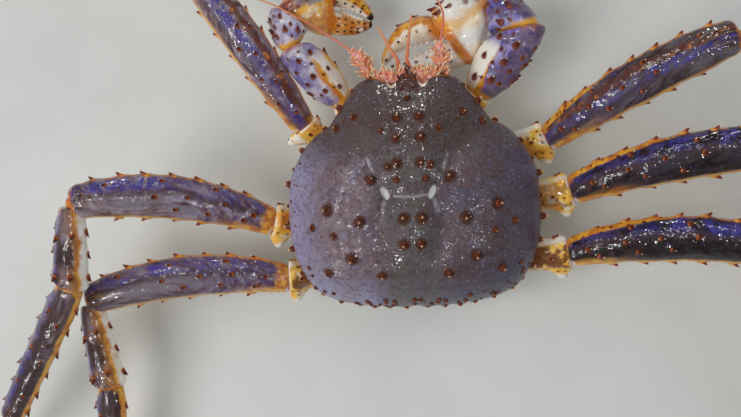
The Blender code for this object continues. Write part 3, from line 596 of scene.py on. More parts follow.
@dataclass
class Segment:
    """One length of a limb: a bowed tube between two joint planes. Breadth points to its leading edge."""

    start: Array
    end: Array
    shape: Array
    face: Array
    side: int
    bow: Array = field(default_factory=lambda: np.zeros(3))
    seat: float = 0.15
    tilt_reach: float = 1.5
    tilt_power: float = 0.8

    def __post_init__(self) -> None:
        """Works out the directions of the segment."""
        self.chord = self.end - self.start
        self.length = float(np.linalg.norm(self.chord))
        self.along = unit(self.chord)
        self.breadth = unit(np.cross(self.face, self.along)) * self.side
        self.thick = np.cross(self.along, self.breadth) * self.side
        self.first_plane, self.last_plane = self.tangent(0.0), self.tangent(1.0)
        self.first_gap = self.last_gap = self.seat

    def centre(self, t: Array | float) -> Array:
        """Points of the centre line."""
        t = np.asarray(t, float)[..., None]
        return self.start + self.chord * t + self.bow * 4 * t * (1 - t)

    def tangent(self, t: Array | float) -> Array:
        """Directions of the centre line."""
        t = np.asarray(t, float)[..., None]
        return unit(self.chord + self.bow * 4 * (1 - 2 * t))

    def half(self, t: Array | float) -> Array:
        """Half breadth and half thickness."""
        return flowing(self.shape, t)

    def face_breadth(self, wanted: Array) -> None:
        """Turns the broad side of the segment as near as it can to a direction."""
        self.breadth = unit(wanted - self.along * (wanted @ self.along))
        self.thick = np.cross(self.along, self.breadth)

    def surface(self, t: float, degrees: float) -> tuple[Array, Array, Array]:
        """Surface point, outward direction and centre-line direction.

        Args:
            t: share of the length.
            degrees: the angle round, 0 at the leading edge.

        Returns:
            The three vectors.
        """
        table = vec(self.shape)
        broad, thick = (np.interp(t, table[:, 0], table[:, k]) for k in (1, 2))
        c, s = math.cos(math.radians(degrees)), math.sin(math.radians(degrees))
        point = self.centre(t) + self.breadth * broad * c + self.thick * thick * s
        return point, unit(self.breadth * c / broad + self.thick * s / thick), self.tangent(t)

    def free(self, root: Array, tip: Array, others: list) -> bool:
        """True where a spine keeps between the joint planes and clear of the other limbs.

        Args:
            root: where the spine stands.
            tip: where it ends.
            others: outlines of the other limbs.

        Returns:
            Whether it may stay.
        """
        for point in (root, tip):
            if (point - self.start) @ self.first_plane < SPINE_CLEARANCE:
                return False
            if (self.end - point) @ self.last_plane < SPINE_CLEARANCE:
                return False
        return all((np.linalg.norm(line - tip, axis=1) >= halves + SPINE_CLEARANCE).all()
                   for line, halves in others)

    def outline(self) -> tuple[Array, Array]:
        """Points of the centre line and the greater half width at each."""
        shares = np.linspace(0, 1, 13)
        table = vec(self.shape)
        halves = np.max([np.interp(shares, table[:, 0], table[:, k]) for k in (1, 2)], axis=0)
        return self.centre(shares), halves

    def spines(self, rows: object, dice: random.Random, scale: float, others: list) -> list[Growth]:
        """Spines in rows along the segment, leaning to its far end, as the solids have them.

        Args:
            rows: angle round the segment, how many, first and last share of its length, and length.
            dice: the shared chance of all spines.
            scale: the limb's size.
            others: outlines of the limbs to keep clear of.

        Returns:
            The spines that have room.
        """
        made = []
        for degrees, count, first, last, length in rows:
            for k in range(count):
                share = first + (last - first) * (k / (count - 1) if count > 1 else 0.0)
                share += dice.uniform(-0.012, 0.012)
                point, out, along = self.surface(share, degrees + dice.uniform(-5, 5))
                out = unit(out + along * 0.45)
                tall = length * scale * dice.uniform(0.85, 1.12)
                if self.free(point - out * 2.6, point + out * tall, others):
                    lean = unit(out + along * 0.55)
                    made.append(Growth(point, lean, along, tall * 1.32, tall * LIMB_SPINE_FATNESS * 1.45))
        return made

    def rows(self, step: float) -> Array:
        """Shares of the length at which rings stand: close at the ends, where they round over."""
        ends = vec((0.0, 0.25, 0.8, 1.6, 2.6)) / self.length
        inner = np.linspace(ends[-1], 1 - ends[-1], max(6, int(self.length / step)))
        return np.concatenate([ends[:-1], inner, 1 - ends[:-1][::-1]])

    def rings(self, t: Array, sides: int, swell: Array | float = 0.0) -> Array:
        """Points of the cross-sections, tilted to the joint planes near the ends.

        Args:
            t: shares of the length.
            sides: points round each ring.
            swell: how far each point stands off the plain form, in millimetres.

        Returns:
            Points by ring, then round the ring.
        """
        half = self.half(t)
        near = self.tilt_reach * half.max(axis=1)
        from_start, from_end = t * self.length, (1 - t) * self.length
        first = np.clip(1 - from_start / near, 0, 1) ** self.tilt_power
        last = np.clip(1 - from_end / near, 0, 1) ** self.tilt_power
        along = self.tangent(t)
        plane = unit(along * (1 - first - last)[:, None] + self.first_plane * first[:, None]
                     + self.last_plane * last[:, None])
        middle = self.centre(t) + self.first_plane * (self.first_gap * bell(from_start, 1.0))[:, None]
        middle -= self.last_plane * (self.last_gap * bell(from_end, 1.0))[:, None]
        lip = 1 - 0.12 * np.clip(1 - np.minimum(from_start, from_end) / 2.2, 0, 1) ** 2.4
        angle = np.linspace(0, 2 * math.pi, sides, endpoint=False)
        arm = (self.breadth * (half[:, :1] * np.cos(angle))[..., None]
               + self.thick * (half[:, 1:] * np.sin(angle))[..., None])
        size = np.linalg.norm(arm, axis=-1, keepdims=True)
        arm = arm * (1 + np.broadcast_to(swell, arm.shape[:2])[..., None] / size) * lip[:, None, None]
        lean = (arm @ plane[:, :, None]) / (along * plane).sum(axis=1)[:, None, None]
        return middle[:, None] + arm - along[:, None] * lean

    def locate(self, points: Array) -> tuple[Array, Array, Array, Array]:
        """Where points lie on the segment.

        Args:
            points: the places.

        Returns:
            Share of the length, leading and upper parts of the direction round, and distance out in
            half widths.
        """
        t = ((points - self.start) @ self.along) / self.length
        off = points - self.centre(np.clip(t, 0, 1))
        half = self.half(t)
        lead, top = off @ self.breadth / half[:, 0], off @ self.thick / half[:, 1]
        reach = np.hypot(lead, top) + 1e-9
        return t, lead / reach, top / reach, reach


LIMB_SPINE_FATNESS = 0.40
SPINE_CLEARANCE = 1.0
JOINT_REACH = 14
ROOT_SEGMENTS = ("coxa", "ischium")
EDGE_SPINE_LIMIT = 0.62
SLEEVE = ((-3.2, 0.80), (-1.6, 0.93), (-0.8, 0.96), (0, 1.0), (0.8, 0.96), (1.6, 0.93), (3.2, 0.80))
LEG_SEGMENTS = ("coxa", "ischium", "merus", "carpus", "propodus", "dactyl")
CLAW_SEGMENTS = ("coxa", "ischium", "merus", "carpus", "palm")
THORAX_FACETS = ((90, 56), (58, 56), (28, 54), (-2, 50), (-30, 52), (-90, 54))
SHIN_Z = 22.8


def facet_corners() -> Array:
    """Corners in plan of the chest, right side from front to back."""
    corners = []
    for (a, p), (b, q) in zip(THORAX_FACETS, THORAX_FACETS[1:]):
        lines = [[math.cos(math.radians(g)), math.sin(math.radians(g))] for g in (a, b)]
        corners.append(np.linalg.solve(lines, (p, q)))
    return vec(corners)


def facet_root(index: int, side: int) -> tuple[Array, Array]:
    """Middle and outward direction of the facet that a limb grows from.

    Args:
        index: which facet, counted from the front.
        side: -1 or 1.

    Returns:
        The middle and the direction.
    """
    corners = facet_corners()
    x, y = (corners[index - 1] + corners[index]) / 2
    angle = math.radians(THORAX_FACETS[index][0])
    return vec((side * x, y, SHIN_Z)), vec((side * math.cos(angle), math.sin(angle), 0.0))


def spine_field(points: Array, spines: list[Growth]) -> tuple[Array, Array]:
    """How far the shell rises around its spines, and how near each point is to one.

    Args:
        points: places on the shell.
        spines: the spines that grow from it.

    Returns:
        The rise in millimetres and the nearness from 0 to 1.
    """
    rise, near = np.zeros(points.shape[:-1]), np.zeros(points.shape[:-1])
    for spine in spines:
        distance = np.linalg.norm(points - spine.root, axis=-1)
        rise = np.maximum(rise, spine.wide * 0.32 * bell(distance, spine.wide * 1.4))
        near = np.maximum(near, bell(distance, spine.wide * 1.1 + 0.4))
    return rise, near


@dataclass
class Limb:
    """What legs and claws share: their line of segments and how a segment is skinned."""

    blunt_knee = False
    name: str
    facet: int
    joints: tuple[Point, ...]
    size: float = 1.0
    sides: int = 56
    step: float = 1.7

    @property
    def side(self) -> Side:
        """The side of the crab that the limb is on."""
        return Side.LEFT if self.name.endswith("left") else Side.RIGHT

    def chain(self, kinds: tuple[str, ...], shapes: dict, face: Array, bows: dict) -> dict[str, Segment]:
        """Segments through the joints, meeting on the planes halfway between their directions.

        Args:
            kinds: the names of the segments in order.
            shapes: stations of each.
            face: which way the broad side faces.
            bows: how far the middle of a segment lies off its chord.

        Returns:
            The segments by name.
        """
        root, plane = facet_root(self.facet, self.side.value)
        points = [root, *(vec(p) for p in self.joints)]
        made = []
        for kind, a, b in zip(kinds, points, points[1:]):
            shape = [(t, p * self.size, q * self.size) for t, p, q in shapes[kind]]
            made.append(Segment(a, b, shape, face, self.side.value, vec(bows.get(kind, (0, 0, 0)))))
        made[0].first_plane, made[0].first_gap = plane, 0.3
        for before, after in zip(made, made[1:]):
            middle = unit(before.last_plane + after.first_plane)
            before.last_plane = after.first_plane = middle
        return {f"{self.name}_{kind}": segment for kind, segment in zip(kinds, made)}

    def squared(self, plan: dict[str, Segment], kind: str) -> Segment:
        """A segment as its skin has it: blunt where a thigh meets a knee that turns off sharply.

        Args:
            plan: the segments of all limbs.
            kind: the segment's name.

        Returns:
            The segment.
        """
        thigh, knee = plan[f"{self.name}_merus"], plan[f"{self.name}_carpus"]
        segment = plan[f"{self.name}_{kind}"]
        sharp = self.blunt_knee and thigh.along @ knee.along <= 0.6
        if not sharp or kind not in ("merus", "carpus"):
            return segment
        if kind == "merus":
            made = replace(thigh)
            made.first_plane, made.first_gap = thigh.first_plane, thigh.first_gap
        else:
            made = replace(knee, start=knee.start + knee.along * 3.0)
            made.last_plane = knee.last_plane
        return made

    def others(self, plan: dict[str, Segment], part: str) -> list:
        """Outlines of the segments that a part doesn't touch.

        Args:
            plan: the segments of all limbs.
            part: the solid's name.

        Returns:
            One outline for each segment that is far enough away.
        """
        mine, far = plan[part], []
        for name, segment in plan.items():
            ends = [(a, b) for a in (mine.start, mine.end) for b in (segment.start, segment.end)]
            if name != part and min(np.linalg.norm(a - b) for a, b in ends) > JOINT_REACH:
                far.append(segment.outline())
        return far

    def shell(
        self, name: str, segment: Segment, spines: list[Growth], ridge: float = 0.0
    ) -> bpy.types.Object:
        """The skin of a segment, swollen round its spines, with the marks that its colours follow.

        Args:
            name: the object's name.
            segment: its form.
            spines: what grows from it.
            ridge: height of the pointed flange on its trailing side.

        Returns:
            The object.
        """
        t = segment.rows(self.step)
        angle = np.linspace(0, 2 * math.pi, self.sides, endpoint=False)
        lead, top = np.cos(angle), np.sin(angle)
        plain = segment.rings(t, self.sides)
        rise, near = spine_field(plain, spines)
        from_start, from_end = t * segment.length, (1 - t) * segment.length
        flare = 0.4 * self.size * (bell(from_end - 4.5, 2.6) - 0.8 * bell(from_end - 11, 4.0))
        flange = bell((t - 0.80) * segment.length, 4.6)[:, None] * np.clip(-lead, 0, 1) ** 11
        uneven = 0.32 * lumps(plain, 17, 3) + 0.12 * lumps(plain, 5, 4)
        swell = rise + uneven + flare[:, None] + ridge * flange
        keel = 0.5 * (np.abs(lead) ** 14)
        rings = segment.rings(t, self.sides, swell + keel)
        rings[..., 2] = np.maximum(rings[..., 2], 0.12)
        return skin(name, rings, {
            "lead": lead[None], "top": top[None], "along": t[:, None], "from_start": from_start[:, None],
            "from_end": from_end[:, None], "near": near, "flange": flange,
        })

    def membranes(self, plan: dict[str, Segment], names: list[str]) -> bpy.types.Object:
        """The soft skin that shows in the joints of the limb.

        Args:
            plan: the segments.
            names: the segments from the root out.

        Returns:
            One object with a short sleeve at each joint.
        """
        parts = []
        for name in names:
            segment = plan[name]
            blunt = name.endswith("carpus") and self.squared(plan, "carpus") is not segment
            ways = segment.along if blunt else unit(segment.first_plane)
            half = segment.half(0.0)[0] * (0.5 if blunt else 0.92)
            angle = np.linspace(0, 2 * math.pi, 28, endpoint=False)
            arm = (segment.breadth * half[0] * np.cos(angle)[:, None]
                   + segment.thick * half[1] * np.sin(angle)[:, None])
            arm = arm - segment.along * ((arm @ ways) / (segment.along @ ways))[:, None]
            rings = vec([segment.start + ways * s + arm * share for s, share in SLEEVE])
            parts.append(skin("sleeve", rings))
        return joined(f"{self.name}_membranes", parts)


@dataclass
class Leg(Limb):
    """A walking leg: six segments with their spines and joint skin."""

    blunt_knee = True
    bow: Point = (0, 0, 0)
    face: Point = (0.0, -0.22, 0.97)
    flange: float = 7.5
    shapes = {
        "coxa": ((0, 11.2, 9.3), (0.5, 11.6, 9.6), (1, 10.2, 8.8)),
        "ischium": ((0, 9.4, 8.2), (0.3, 10.2, 8.8), (0.7, 11.6, 9.4), (0.92, 12.4, 9.6), (1, 11.6, 8.8)),
        "merus": ((0, 10.4, 8.4), (0.1, 12.2, 9.2), (0.28, 14.0, 10.0), (0.52, 15.2, 10.2), (0.76, 14.2, 9.8),
                  (0.94, 12.6, 9.4), (1, 9.8, 8.4)),
        "carpus": ((0, 7.6, 7.0), (0.16, 9.4, 8.2), (0.45, 10.4, 8.8), (0.75, 11.8, 9.2), (0.92, 12.0, 9.0),
                   (1, 9.8, 7.8)),
        "propodus": ((0, 9.0, 7.6), (0.12, 10.4, 8.0), (0.4, 10.2, 7.6), (0.75, 9.4, 6.8), (0.93, 9.0, 6.4),
                     (1, 7.6, 5.8)),
        "dactyl": ((0, 6.0, 5.0), (0.12, 6.6, 5.4), (0.35, 5.6, 4.6), (0.65, 4.0, 3.4), (0.88, 2.4, 2.1),
                   (1, 1.4, 1.3)),
    }
    spine_rows = {
        "coxa": (),
        "ischium": ((0, 1, 0.80, 0.80, 4.0), (90, 1, 0.70, 0.70, 3.2), (182, 1, 0.78, 0.78, 8.0)),
        "merus": ((2, 7, 0.14, 0.90, 5.2), (38, 3, 0.30, 0.84, 3.4), (78, 4, 0.10, 0.60, 3.6),
                  (112, 3, 0.16, 0.50, 3.4), (180, 6, 0.20, 0.90, 5.0)),
        "carpus": ((0, 3, 0.28, 0.84, 4.6), (55, 2, 0.40, 0.84, 5.0), (112, 2, 0.34, 0.82, 4.4),
                   (180, 3, 0.30, 0.84, 4.6)),
        "propodus": ((0, 6, 0.12, 0.90, 4.4), (62, 3, 0.16, 0.70, 3.2), (118, 3, 0.22, 0.78, 3.2),
                     (180, 6, 0.12, 0.90, 4.6)),
        "dactyl": ((4, 3, 0.16, 0.52, 2.6), (176, 3, 0.16, 0.52, 2.6)),
    }

    def plan(self) -> dict[str, Segment]:
        """The six segments by the names of their solids."""
        bows = {"merus": self.bow, "dactyl": (0, 0, 5.0)}
        return self.chain(LEG_SEGMENTS, self.shapes, vec(self.face), bows)

    def flange_tip(self, spine: Growth) -> Growth:
        """The long spine of the root segment, shortened because the flange carries it."""
        if spine.tall < 6 * self.size:
            return spine
        root = spine.root + spine.out * self.flange * 0.7
        return Growth(root, spine.out, spine.lean, spine.tall * 0.45, 1.5)

    def build(self, plan: dict[str, Segment], dice: random.Random, finishes: "Finishes") -> None:
        """Makes and dresses the leg.

        Args:
            plan: the segments of all limbs.
            dice: the shared chance of all spines.
            finishes: the materials.
        """
        edge, upper = [], []
        names = [f"{self.name}_{kind}" for kind in LEG_SEGMENTS]
        for kind, name in zip(LEG_SEGMENTS, names):
            spines = plan[name].spines(self.spine_rows[kind], dice, self.size, self.others(plan, name))
            if kind == "ischium":
                spines = [self.flange_tip(spine) for spine in spines]
            ridge = self.flange if kind == "ischium" else 0.0
            shell = self.shell(f"shell_{name}", self.squared(plan, kind), spines, ridge)
            if kind in ROOT_SEGMENTS:
                dress(shell, finishes.root(self.name), Slot.JOINT, name)
            else:
                dress(shell, finishes.leg(self.name, LegPart.of(kind)), Slot.LEG, name)
            for spine in spines:
                on_edge = kind == "merus" and abs(spine.out[2]) < EDGE_SPINE_LIMIT
                (edge if on_edge else upper).append(spine)
        for word, growths, finish in (
            ("edge_spines", edge, finishes.edge_spine), ("spines", upper, finishes.spine),
        ):
            dress(SPINE.grow(f"{word}_{self.name}", growths, finish), finish, Slot.LEG)
        dress(self.membranes(plan, names), finishes.membrane, Slot.PALE)


@dataclass
class Claw(Limb):
    """A claw leg: four joints, the palm with its fixed finger, and the movable finger."""

    up: Point = (0, 1, 0)
    finger_tip: Point = (0, 0, 0)
    finger_bow: tuple[float, float] = (6, 3)
    tip_gap: float = 2.0
    face: Point = (0.0, 0.1, 1.0)
    finger_place: float = 0.52
    tuft_ways: tuple[float, ...] = (125, 95, 60, 235, 265, 300)
    tuft_count: int = 6
    tuft_bristles: int = 12
    shapes = {
        "coxa": ((0, 10.0, 9.0), (0.5, 10.4, 9.2), (1, 9.2, 8.4)),
        "ischium": ((0, 8.6, 8.0), (0.4, 9.6, 8.8), (0.85, 11.6, 10.0), (1, 10.8, 9.2)),
        "merus": ((0, 9.8, 8.6), (0.15, 13.0, 10.4), (0.45, 16.6, 11.8), (0.75, 16.4, 12.4),
                  (0.92, 14.0, 11.6), (1, 9.0, 8.6)),
        "carpus": ((0, 8.0, 7.8), (0.25, 12.4, 11.4), (0.6, 14.8, 13.0), (0.86, 13.4, 11.8), (1, 9.0, 8.6)),
        "palm": ((0, 8.4, 8.0), (0.16, 12.6, 11.0), (0.42, 19.6, 13.8), (0.7, 23.6, 14.4), (0.92, 23.6, 13.4),
                 (1, 22.0, 12.2)),
        "finger": ((0, 10.4, 11.0), (0.2, 9.8, 10.4), (0.5, 7.8, 8.2), (0.78, 5.0, 5.4), (0.93, 3.0, 3.2),
                   (1, 1.6, 1.8)),
    }
    spine_rows = {
        "coxa": (),
        "ischium": ((90, 1, 0.70, 0.70, 3.2),),
        "merus": ((0, 3, 0.40, 0.88, 5.4), (60, 3, 0.20, 0.80, 4.4), (110, 3, 0.30, 0.84, 4.6),
                  (165, 3, 0.40, 0.88, 5.6)),
        "carpus": ((0, 2, 0.40, 0.80, 5.4), (50, 2, 0.35, 0.80, 5.0), (100, 2, 0.40, 0.80, 5.2),
                   (150, 2, 0.40, 0.80, 5.4)),
        "palm": ((0, 4, 0.26, 0.88, 5.4), (32, 3, 0.30, 0.82, 4.6), (-32, 3, 0.30, 0.82, 4.6)),
        "finger": ((10, 2, 0.20, 0.46, 3.4),),
    }

    small_rows = {
        "merus": ((84, 4, 0.26, 0.92, 2.4), (138, 4, 0.30, 0.94, 3.2), (184, 4, 0.26, 0.92, 4.4)),
        "carpus": ((24, 2, 0.36, 0.80, 2.6), (74, 3, 0.20, 0.86, 2.8), (128, 3, 0.24, 0.88, 3.8),
                   (176, 3, 0.3, 0.8, 4.6)),
        "palm": ((16, 3, 0.22, 0.70, 2.4), (56, 3, 0.20, 0.60, 2.2)),
    }

    def plan(self) -> dict[str, Segment]:
        """The segments and the two fingers by name."""
        made = self.chain(CLAW_SEGMENTS, self.shapes, vec(self.face), {})
        palm = made[f"{self.name}_palm"]
        palm.face_breadth(unit(vec(self.up)))
        half = palm.shape[-1][1]
        for word, sign, bow in (("finger", 1, self.finger_bow[0]), ("fixed", -1, self.finger_bow[1])):
            across = palm.breadth * sign
            start = palm.end + across * half * self.finger_place
            end = vec(self.finger_tip) + across * self.tip_gap
            shape = [(t, a * self.size, b * self.size) for t, a, b in self.shapes["finger"]]
            finger = Segment(start, end, shape, palm.thick, 1, across * bow)
            finger.face_breadth(across)
            finger.first_plane = palm.last_plane
            made[f"{self.name}_{word}"] = finger
        made[f"{self.name}_fixed"].first_gap = -3.0
        return made

    def teeth(self, segment: Segment, start: float, count: int = 7) -> list[Growth]:
        """Blunt teeth along the biting edge of a finger.

        Args:
            segment: the finger.
            start: where the teeth begin.
            count: how many.

        Returns:
            The teeth.
        """
        made = []
        for k in range(count):
            share = start + 0.58 * k / count
            point, out, along = segment.surface(share, 180)
            wide = (2.5 - 1.2 * k / count) * self.size
            made.append(Growth(point, out, along, wide * 1.9, wide))
        return made

    def tufts(self, segment: Segment, dice: random.Random) -> list[Growth]:
        """Tufts of short dark bristles in rows along a finger.

        Args:
            segment: the finger.
            dice: the chance of their places.

        Returns:
            The bristles.
        """
        made = []
        for degrees in self.tuft_ways:
            for share in np.linspace(0.12, 0.92, self.tuft_count):
                root, out, along = segment.surface(share, degrees + dice.uniform(-8, 8))
                for _ in range(self.tuft_bristles):
                    way = unit(out + along * 0.5 + vec([dice.uniform(-0.35, 0.35) for _ in range(3)]))
                    spot = root + vec([dice.uniform(-0.8, 0.8) for _ in range(3)]) * self.size
                    tall = dice.uniform(1.4, 2.4) * self.size
                    made.append(Growth(spot - out * 0.3, way, along, tall, 0.32))
        return made

    def palm_shell(self, palm: Segment, fixed: Segment, spines: list[Growth]) -> bpy.types.Object:
        """The palm and its fixed finger in one skin, with the marks that its colours follow.

        Args:
            palm: the palm's form.
            fixed: the fixed finger's form.
            spines: what grows from the palm.

        Returns:
            The object.
        """
        parts = [skin(word, part.rings(part.rows(2.0), sides))
                 for word, part, sides in (("palm", palm, 48), ("fixed", fixed, 36))]
        made = blended(f"shell_{self.name}_palm", parts, 0.85, 6)
        points = places(made)
        t, lead, top, _ = palm.locate(points)
        along = fixed.locate(points)[0]
        rise, near = spine_field(points, spines)
        flat = np.zeros(len(made.data.vertices) * 3, np.float32)
        made.data.vertex_normals.foreach_get("vector", flat)
        swell = rise + 0.3 * lumps(points, 13, 8) + 0.1 * lumps(points, 4, 9)
        swell *= ease(t * palm.length / 3)
        reshape(made, points + flat.reshape(-1, 3) * swell[:, None])
        paint(made, {
            "lead": lead, "top": top, "along": t, "near": near, "from_start": t * palm.length,
            "from_end": (1 - t) * palm.length, "finger": along * (t > 0.9),
        })
        return made

    def build(self, plan: dict[str, Segment], dice: random.Random, finishes: "Finishes") -> None:
        """Makes and dresses the claw leg.

        Args:
            plan: the segments of all limbs.
            dice: the shared chance of all spines.
            finishes: the materials.
        """
        grown, teeth, bristles = [], [], []
        detail = random.Random(DETAIL_SEED + self.side.value)
        kinds = (*CLAW_SEGMENTS, "finger")
        fixed = plan[f"{self.name}_fixed"]
        for kind in kinds:
            name = f"{self.name}_{kind}"
            segment, others = plan[name], self.others(plan, name)
            spines = segment.spines(self.spine_rows[kind], dice, self.size, others)
            spines += segment.spines(self.small_rows.get(kind, ()), detail, self.size, others)
            biting, first = {"palm": (fixed, 0.2), "finger": (segment, 0.24)}.get(kind, (None, 0))
            if biting:
                teeth += self.teeth(biting, first)
                bristles += self.tufts(biting, detail)
            if kind == "palm":
                shell = self.palm_shell(segment, fixed, spines)
            else:
                shell = self.shell(f"shell_{name}", segment, spines)
            if kind in ROOT_SEGMENTS:
                dress(shell, finishes.root(self.name), Slot.JOINT, name)
            else:
                dress(shell, finishes.claw(self.name, ClawPart.of(kind)), Slot.CLAW, name)
            grown += spines
        for style, word, growths, finish in (
            (SPINE, "spines", grown, finishes.claw_spine), (TOOTH, "teeth", teeth, finishes.tooth),
            (BRISTLE, "bristles", bristles, finishes.bristle),
        ):
            dress(style.grow(f"{word}_{self.name}", growths, finish), finish, Slot.CLAW)
        dress(self.membranes(plan, [f"{self.name}_{kind}" for kind in kinds]), finishes.membrane, Slot.PALE)


LEGS = (
    Leg("leg2_left", 2, ((-65, 49, 24), (-79, 63, 34), (-147, 172, 86), (-200, 201, 78), (-304, 215, 28),
                         (-362, 207, 0.6)), 0.88, bow=(2.5, 0, 6)),
    Leg("leg3_left", 3, ((-72, -6, 23), (-105, -8, 36), (-230, 11, 92), (-240, -47, 80), (-311, -147, 44),
                         (-340, -196, 0.6)), 1.0, bow=(0, 11, 4)),
    Leg("leg4_left", 4, ((-66, -44, 22), (-96, -51, 31), (-242, -60, 50), (-232, -126, 44), (-240, -240, 22),
                         (-249, -297, 0.6)), 1.0, bow=(0, 10, 4)),
    Leg("leg2_right", 2, ((66, 39, 24), (99, 44, 36), (207, 96, 92), (256, 68, 84), (334, 6, 30),
                          (376, -36, 0.6)), 0.95, bow=(-1.5, 4.5, 8)),
    Leg("leg3_right", 3, ((74, 1, 23), (114, 6, 36), (246, 25, 88), (274, -29, 75), (340, -126, 34),
                          (374, -178, 0.6)), 1.0, bow=(0, 8, 5)),
    Leg("leg4_right", 4, ((68, -42, 22), (111, -39, 34), (239, -40, 78), (250, -102, 60), (289, -208, 26),
                          (309, -262, 0.6)), 1.0, bow=(0, 9, 4)),
)
CLAWS = (
    Claw("claw_left", 1, ((-37, 63, 25), (-49, 79, 34), (-81, 116, 57), (-84, 139, 55), (-54, 147, 42)), 0.84,
         up=(0.08, 0.92, 0.38), finger_tip=(-24, 137, 33), finger_bow=(6.0, 3.0), tip_gap=1.6),
    Claw("claw_right", 1, ((38, 64, 25), (50, 80, 36), (80, 118, 61), (60, 136, 50), (31, 118, 39)), 1.0,
         up=(-0.10, 0.93, 0.35), finger_tip=(-16, 103, 33), finger_bow=(8.5, 3.5), tip_gap=2.0,
         tuft_ways=(125, 70, 265)),
)


# Back shell

FACE_START_Y = 50
FACE_SLOPE = 0.638
BACK_FLOOR_Z = 34.3


@dataclass
class BackShell:
    """The domed back with its rim, grooves, spines and the face's rostrum."""

    grid: int = 200
    crown_z: float = 81
    floor_z: float = BACK_FLOOR_Z
    groove_depth: float = 2.4
    groove_spread: float = 6.0
    folds: tuple[tuple[float, float, int], ...] = ((0.55, 26, 11), (0.22, 8, 12), (0.08, 3.2, 13))
    rolled_rows: int = 14
    under_shares: tuple[float, ...] = (0.8, 0.55, 0.28)
    granule_count: int = 420
    edge = (
        (0, 98), (2.2, 95.5), (4.6, 90), (7.6, 84.5), (11, 82.2), (15, 85.5), (20, 87.5), (26, 88.5),
        (33, 86.5), (41, 78), (50, 66), (57, 57), (66, 53), (74, 47),
        (82, 36), (88, 22), (90, 5), (90, -12), (88, -27), (83, -43), (75, -56), (62, -65),
        (44, -70), (22, -72.5), (0, -72.5),
    )
    dome_edge = (
        (0, 93), (11, 92.5), (20, 92), (27, 91), (34, 88), (41, 79), (50, 68), (58, 60), (66, 54), (74, 47),
        (82, 36), (88, 22), (90, 5), (90, -12), (88, -27), (83, -43), (75, -56), (62, -65),
        (44, -70), (22, -72.5), (0, -72.5),
    )
    swellings = ((0, 42, 25, 23, 8), (0, -18, 15, 20, 4.5), (52, -6, 26, 36, 6), (22, 62, 14, 14, 2))
    neck_groove = ((60, 56), (44, 47), (31, 35), (24, 20), (17, 8), (0, 5))
    heart_groove = ((17, 8), (21, -6), (20, -22), (14, -36))
    back_spines = (
        (7, 58.5, 6.5), (8.2, 44, 6), (7.7, 27.8, 6.5), (14, 26, 4.5), (9.5, 17, 3), (19.5, 50.5, 3),
        (37, 61.5, 4.5), (50, 55.5, 4.5), (27, 17.6, 7.5), (57, -1.5, 7.5), (35, -10, 7.5),
        (68.5, -13, 4), (53.6, -19, 4), (42, -35, 7), (58.5, -44.5, 5.5), (22.6, -47, 5.5),
        (5.6, -9, 6.5), (5.7, -26, 6),
    )
    edge_spines = (
        (74, 9), (65, 5), (56, 8), (43, 7.5), (28.5, 7.5), (19, 4.5), (12, 8.5), (2, 4.5), (-7.4, 7.5),
        (-17.7, 7), (-29.3, 7), (-36, 5), (-42, 6.5), (-50.6, 6.5), (-59.4, 6.5), (-66.7, 6.5),
        (-74.5, 6.5), (-84, 6),
    )
    beak_spines = (
        ((0, 86, 64), (0, 96, 71), 3.4, (1,)), ((4.0, 84, 66), (7, 90.5, 73), 2.4, (-1, 1)),
        ((3.4, 78, 69), (4.6, 81.5, 74), 2.2, (-1, 1)), ((0, 72, 74), (0, 74, 78.5), 2.4, (1,)),
    )
    # Bare pale skin beside the neck groove: middle x and y, half width, half length, turn in degrees, amount.
    bare_patches = (
        (-17.6, 8.6, 2.1, 4.4, 30, 1.0), (14.0, 8.0, 2.0, 4.6, -22, 1.0),
    )
    # Pale lavender streaks, with the same columns; the two at y = 28 are painted glints.
    lavender_patches = (
        (-19.0, -2.0, 1.6, 5.5, -8, 0.5), (16.2, -1.5, 1.6, 5.5, 14, 0.7),
        (-27.0, 28, 1.2, 6.0, 22, 0.7), (23.6, 28, 1.2, 6.0, -18, 0.9),
    )

    def radius(self, bearing: Array, line: object = None) -> Array:
        """Outline radius over bearings in degrees.

        Args:
            bearing: angles from the crab's right.
            line: half an outline, if not the shell's.

        Returns:
            One radius for each bearing.
        """
        half = vec(line or self.edge)
        known = np.degrees(np.arctan2(half[:, 1], half[:, 0]))[::-1]
        reach = np.hypot(half[:, 0], half[:, 1])[::-1]
        folded = (np.asarray(bearing, float) + 90) % 360 - 90
        folded = np.where(folded > 90, 180 - folded, folded)
        table = np.column_stack([(known + 90) / 180, reach])
        table[-1, 0] = 1.0
        return flowing(table, (folded.ravel() + 90) / 180).reshape(folded.shape)

    def coarse_radius(self, bearing: float) -> float:
        """Outline radius of the solid, straight between the outline's points."""
        half = vec(self.edge)
        known = np.degrees(np.arctan2(half[:, 1], half[:, 0]))[::-1]
        folded = (bearing + 90) % 360 - 90
        folded = 180 - folded if folded > 90 else folded
        return float(np.interp(folded, known, np.hypot(half[:, 0], half[:, 1])[::-1]))

    def rim(self, y: Array) -> Array:
        """Height of the rim: it rises to the front and dips to the back."""
        return 46 + 14 * ease((y - 36) / 46) - 4 * ease((-y - 30) / 40)

    def share(self, xy: Array) -> Array:
        """How far out points in plan lie, as a share of the outline."""
        reach = np.hypot(xy[..., 0], xy[..., 1])
        bearing = np.degrees(np.arctan2(xy[..., 1], np.abs(xy[..., 0])))
        return np.clip(reach / self.radius(bearing, self.dome_edge), 0, 1)

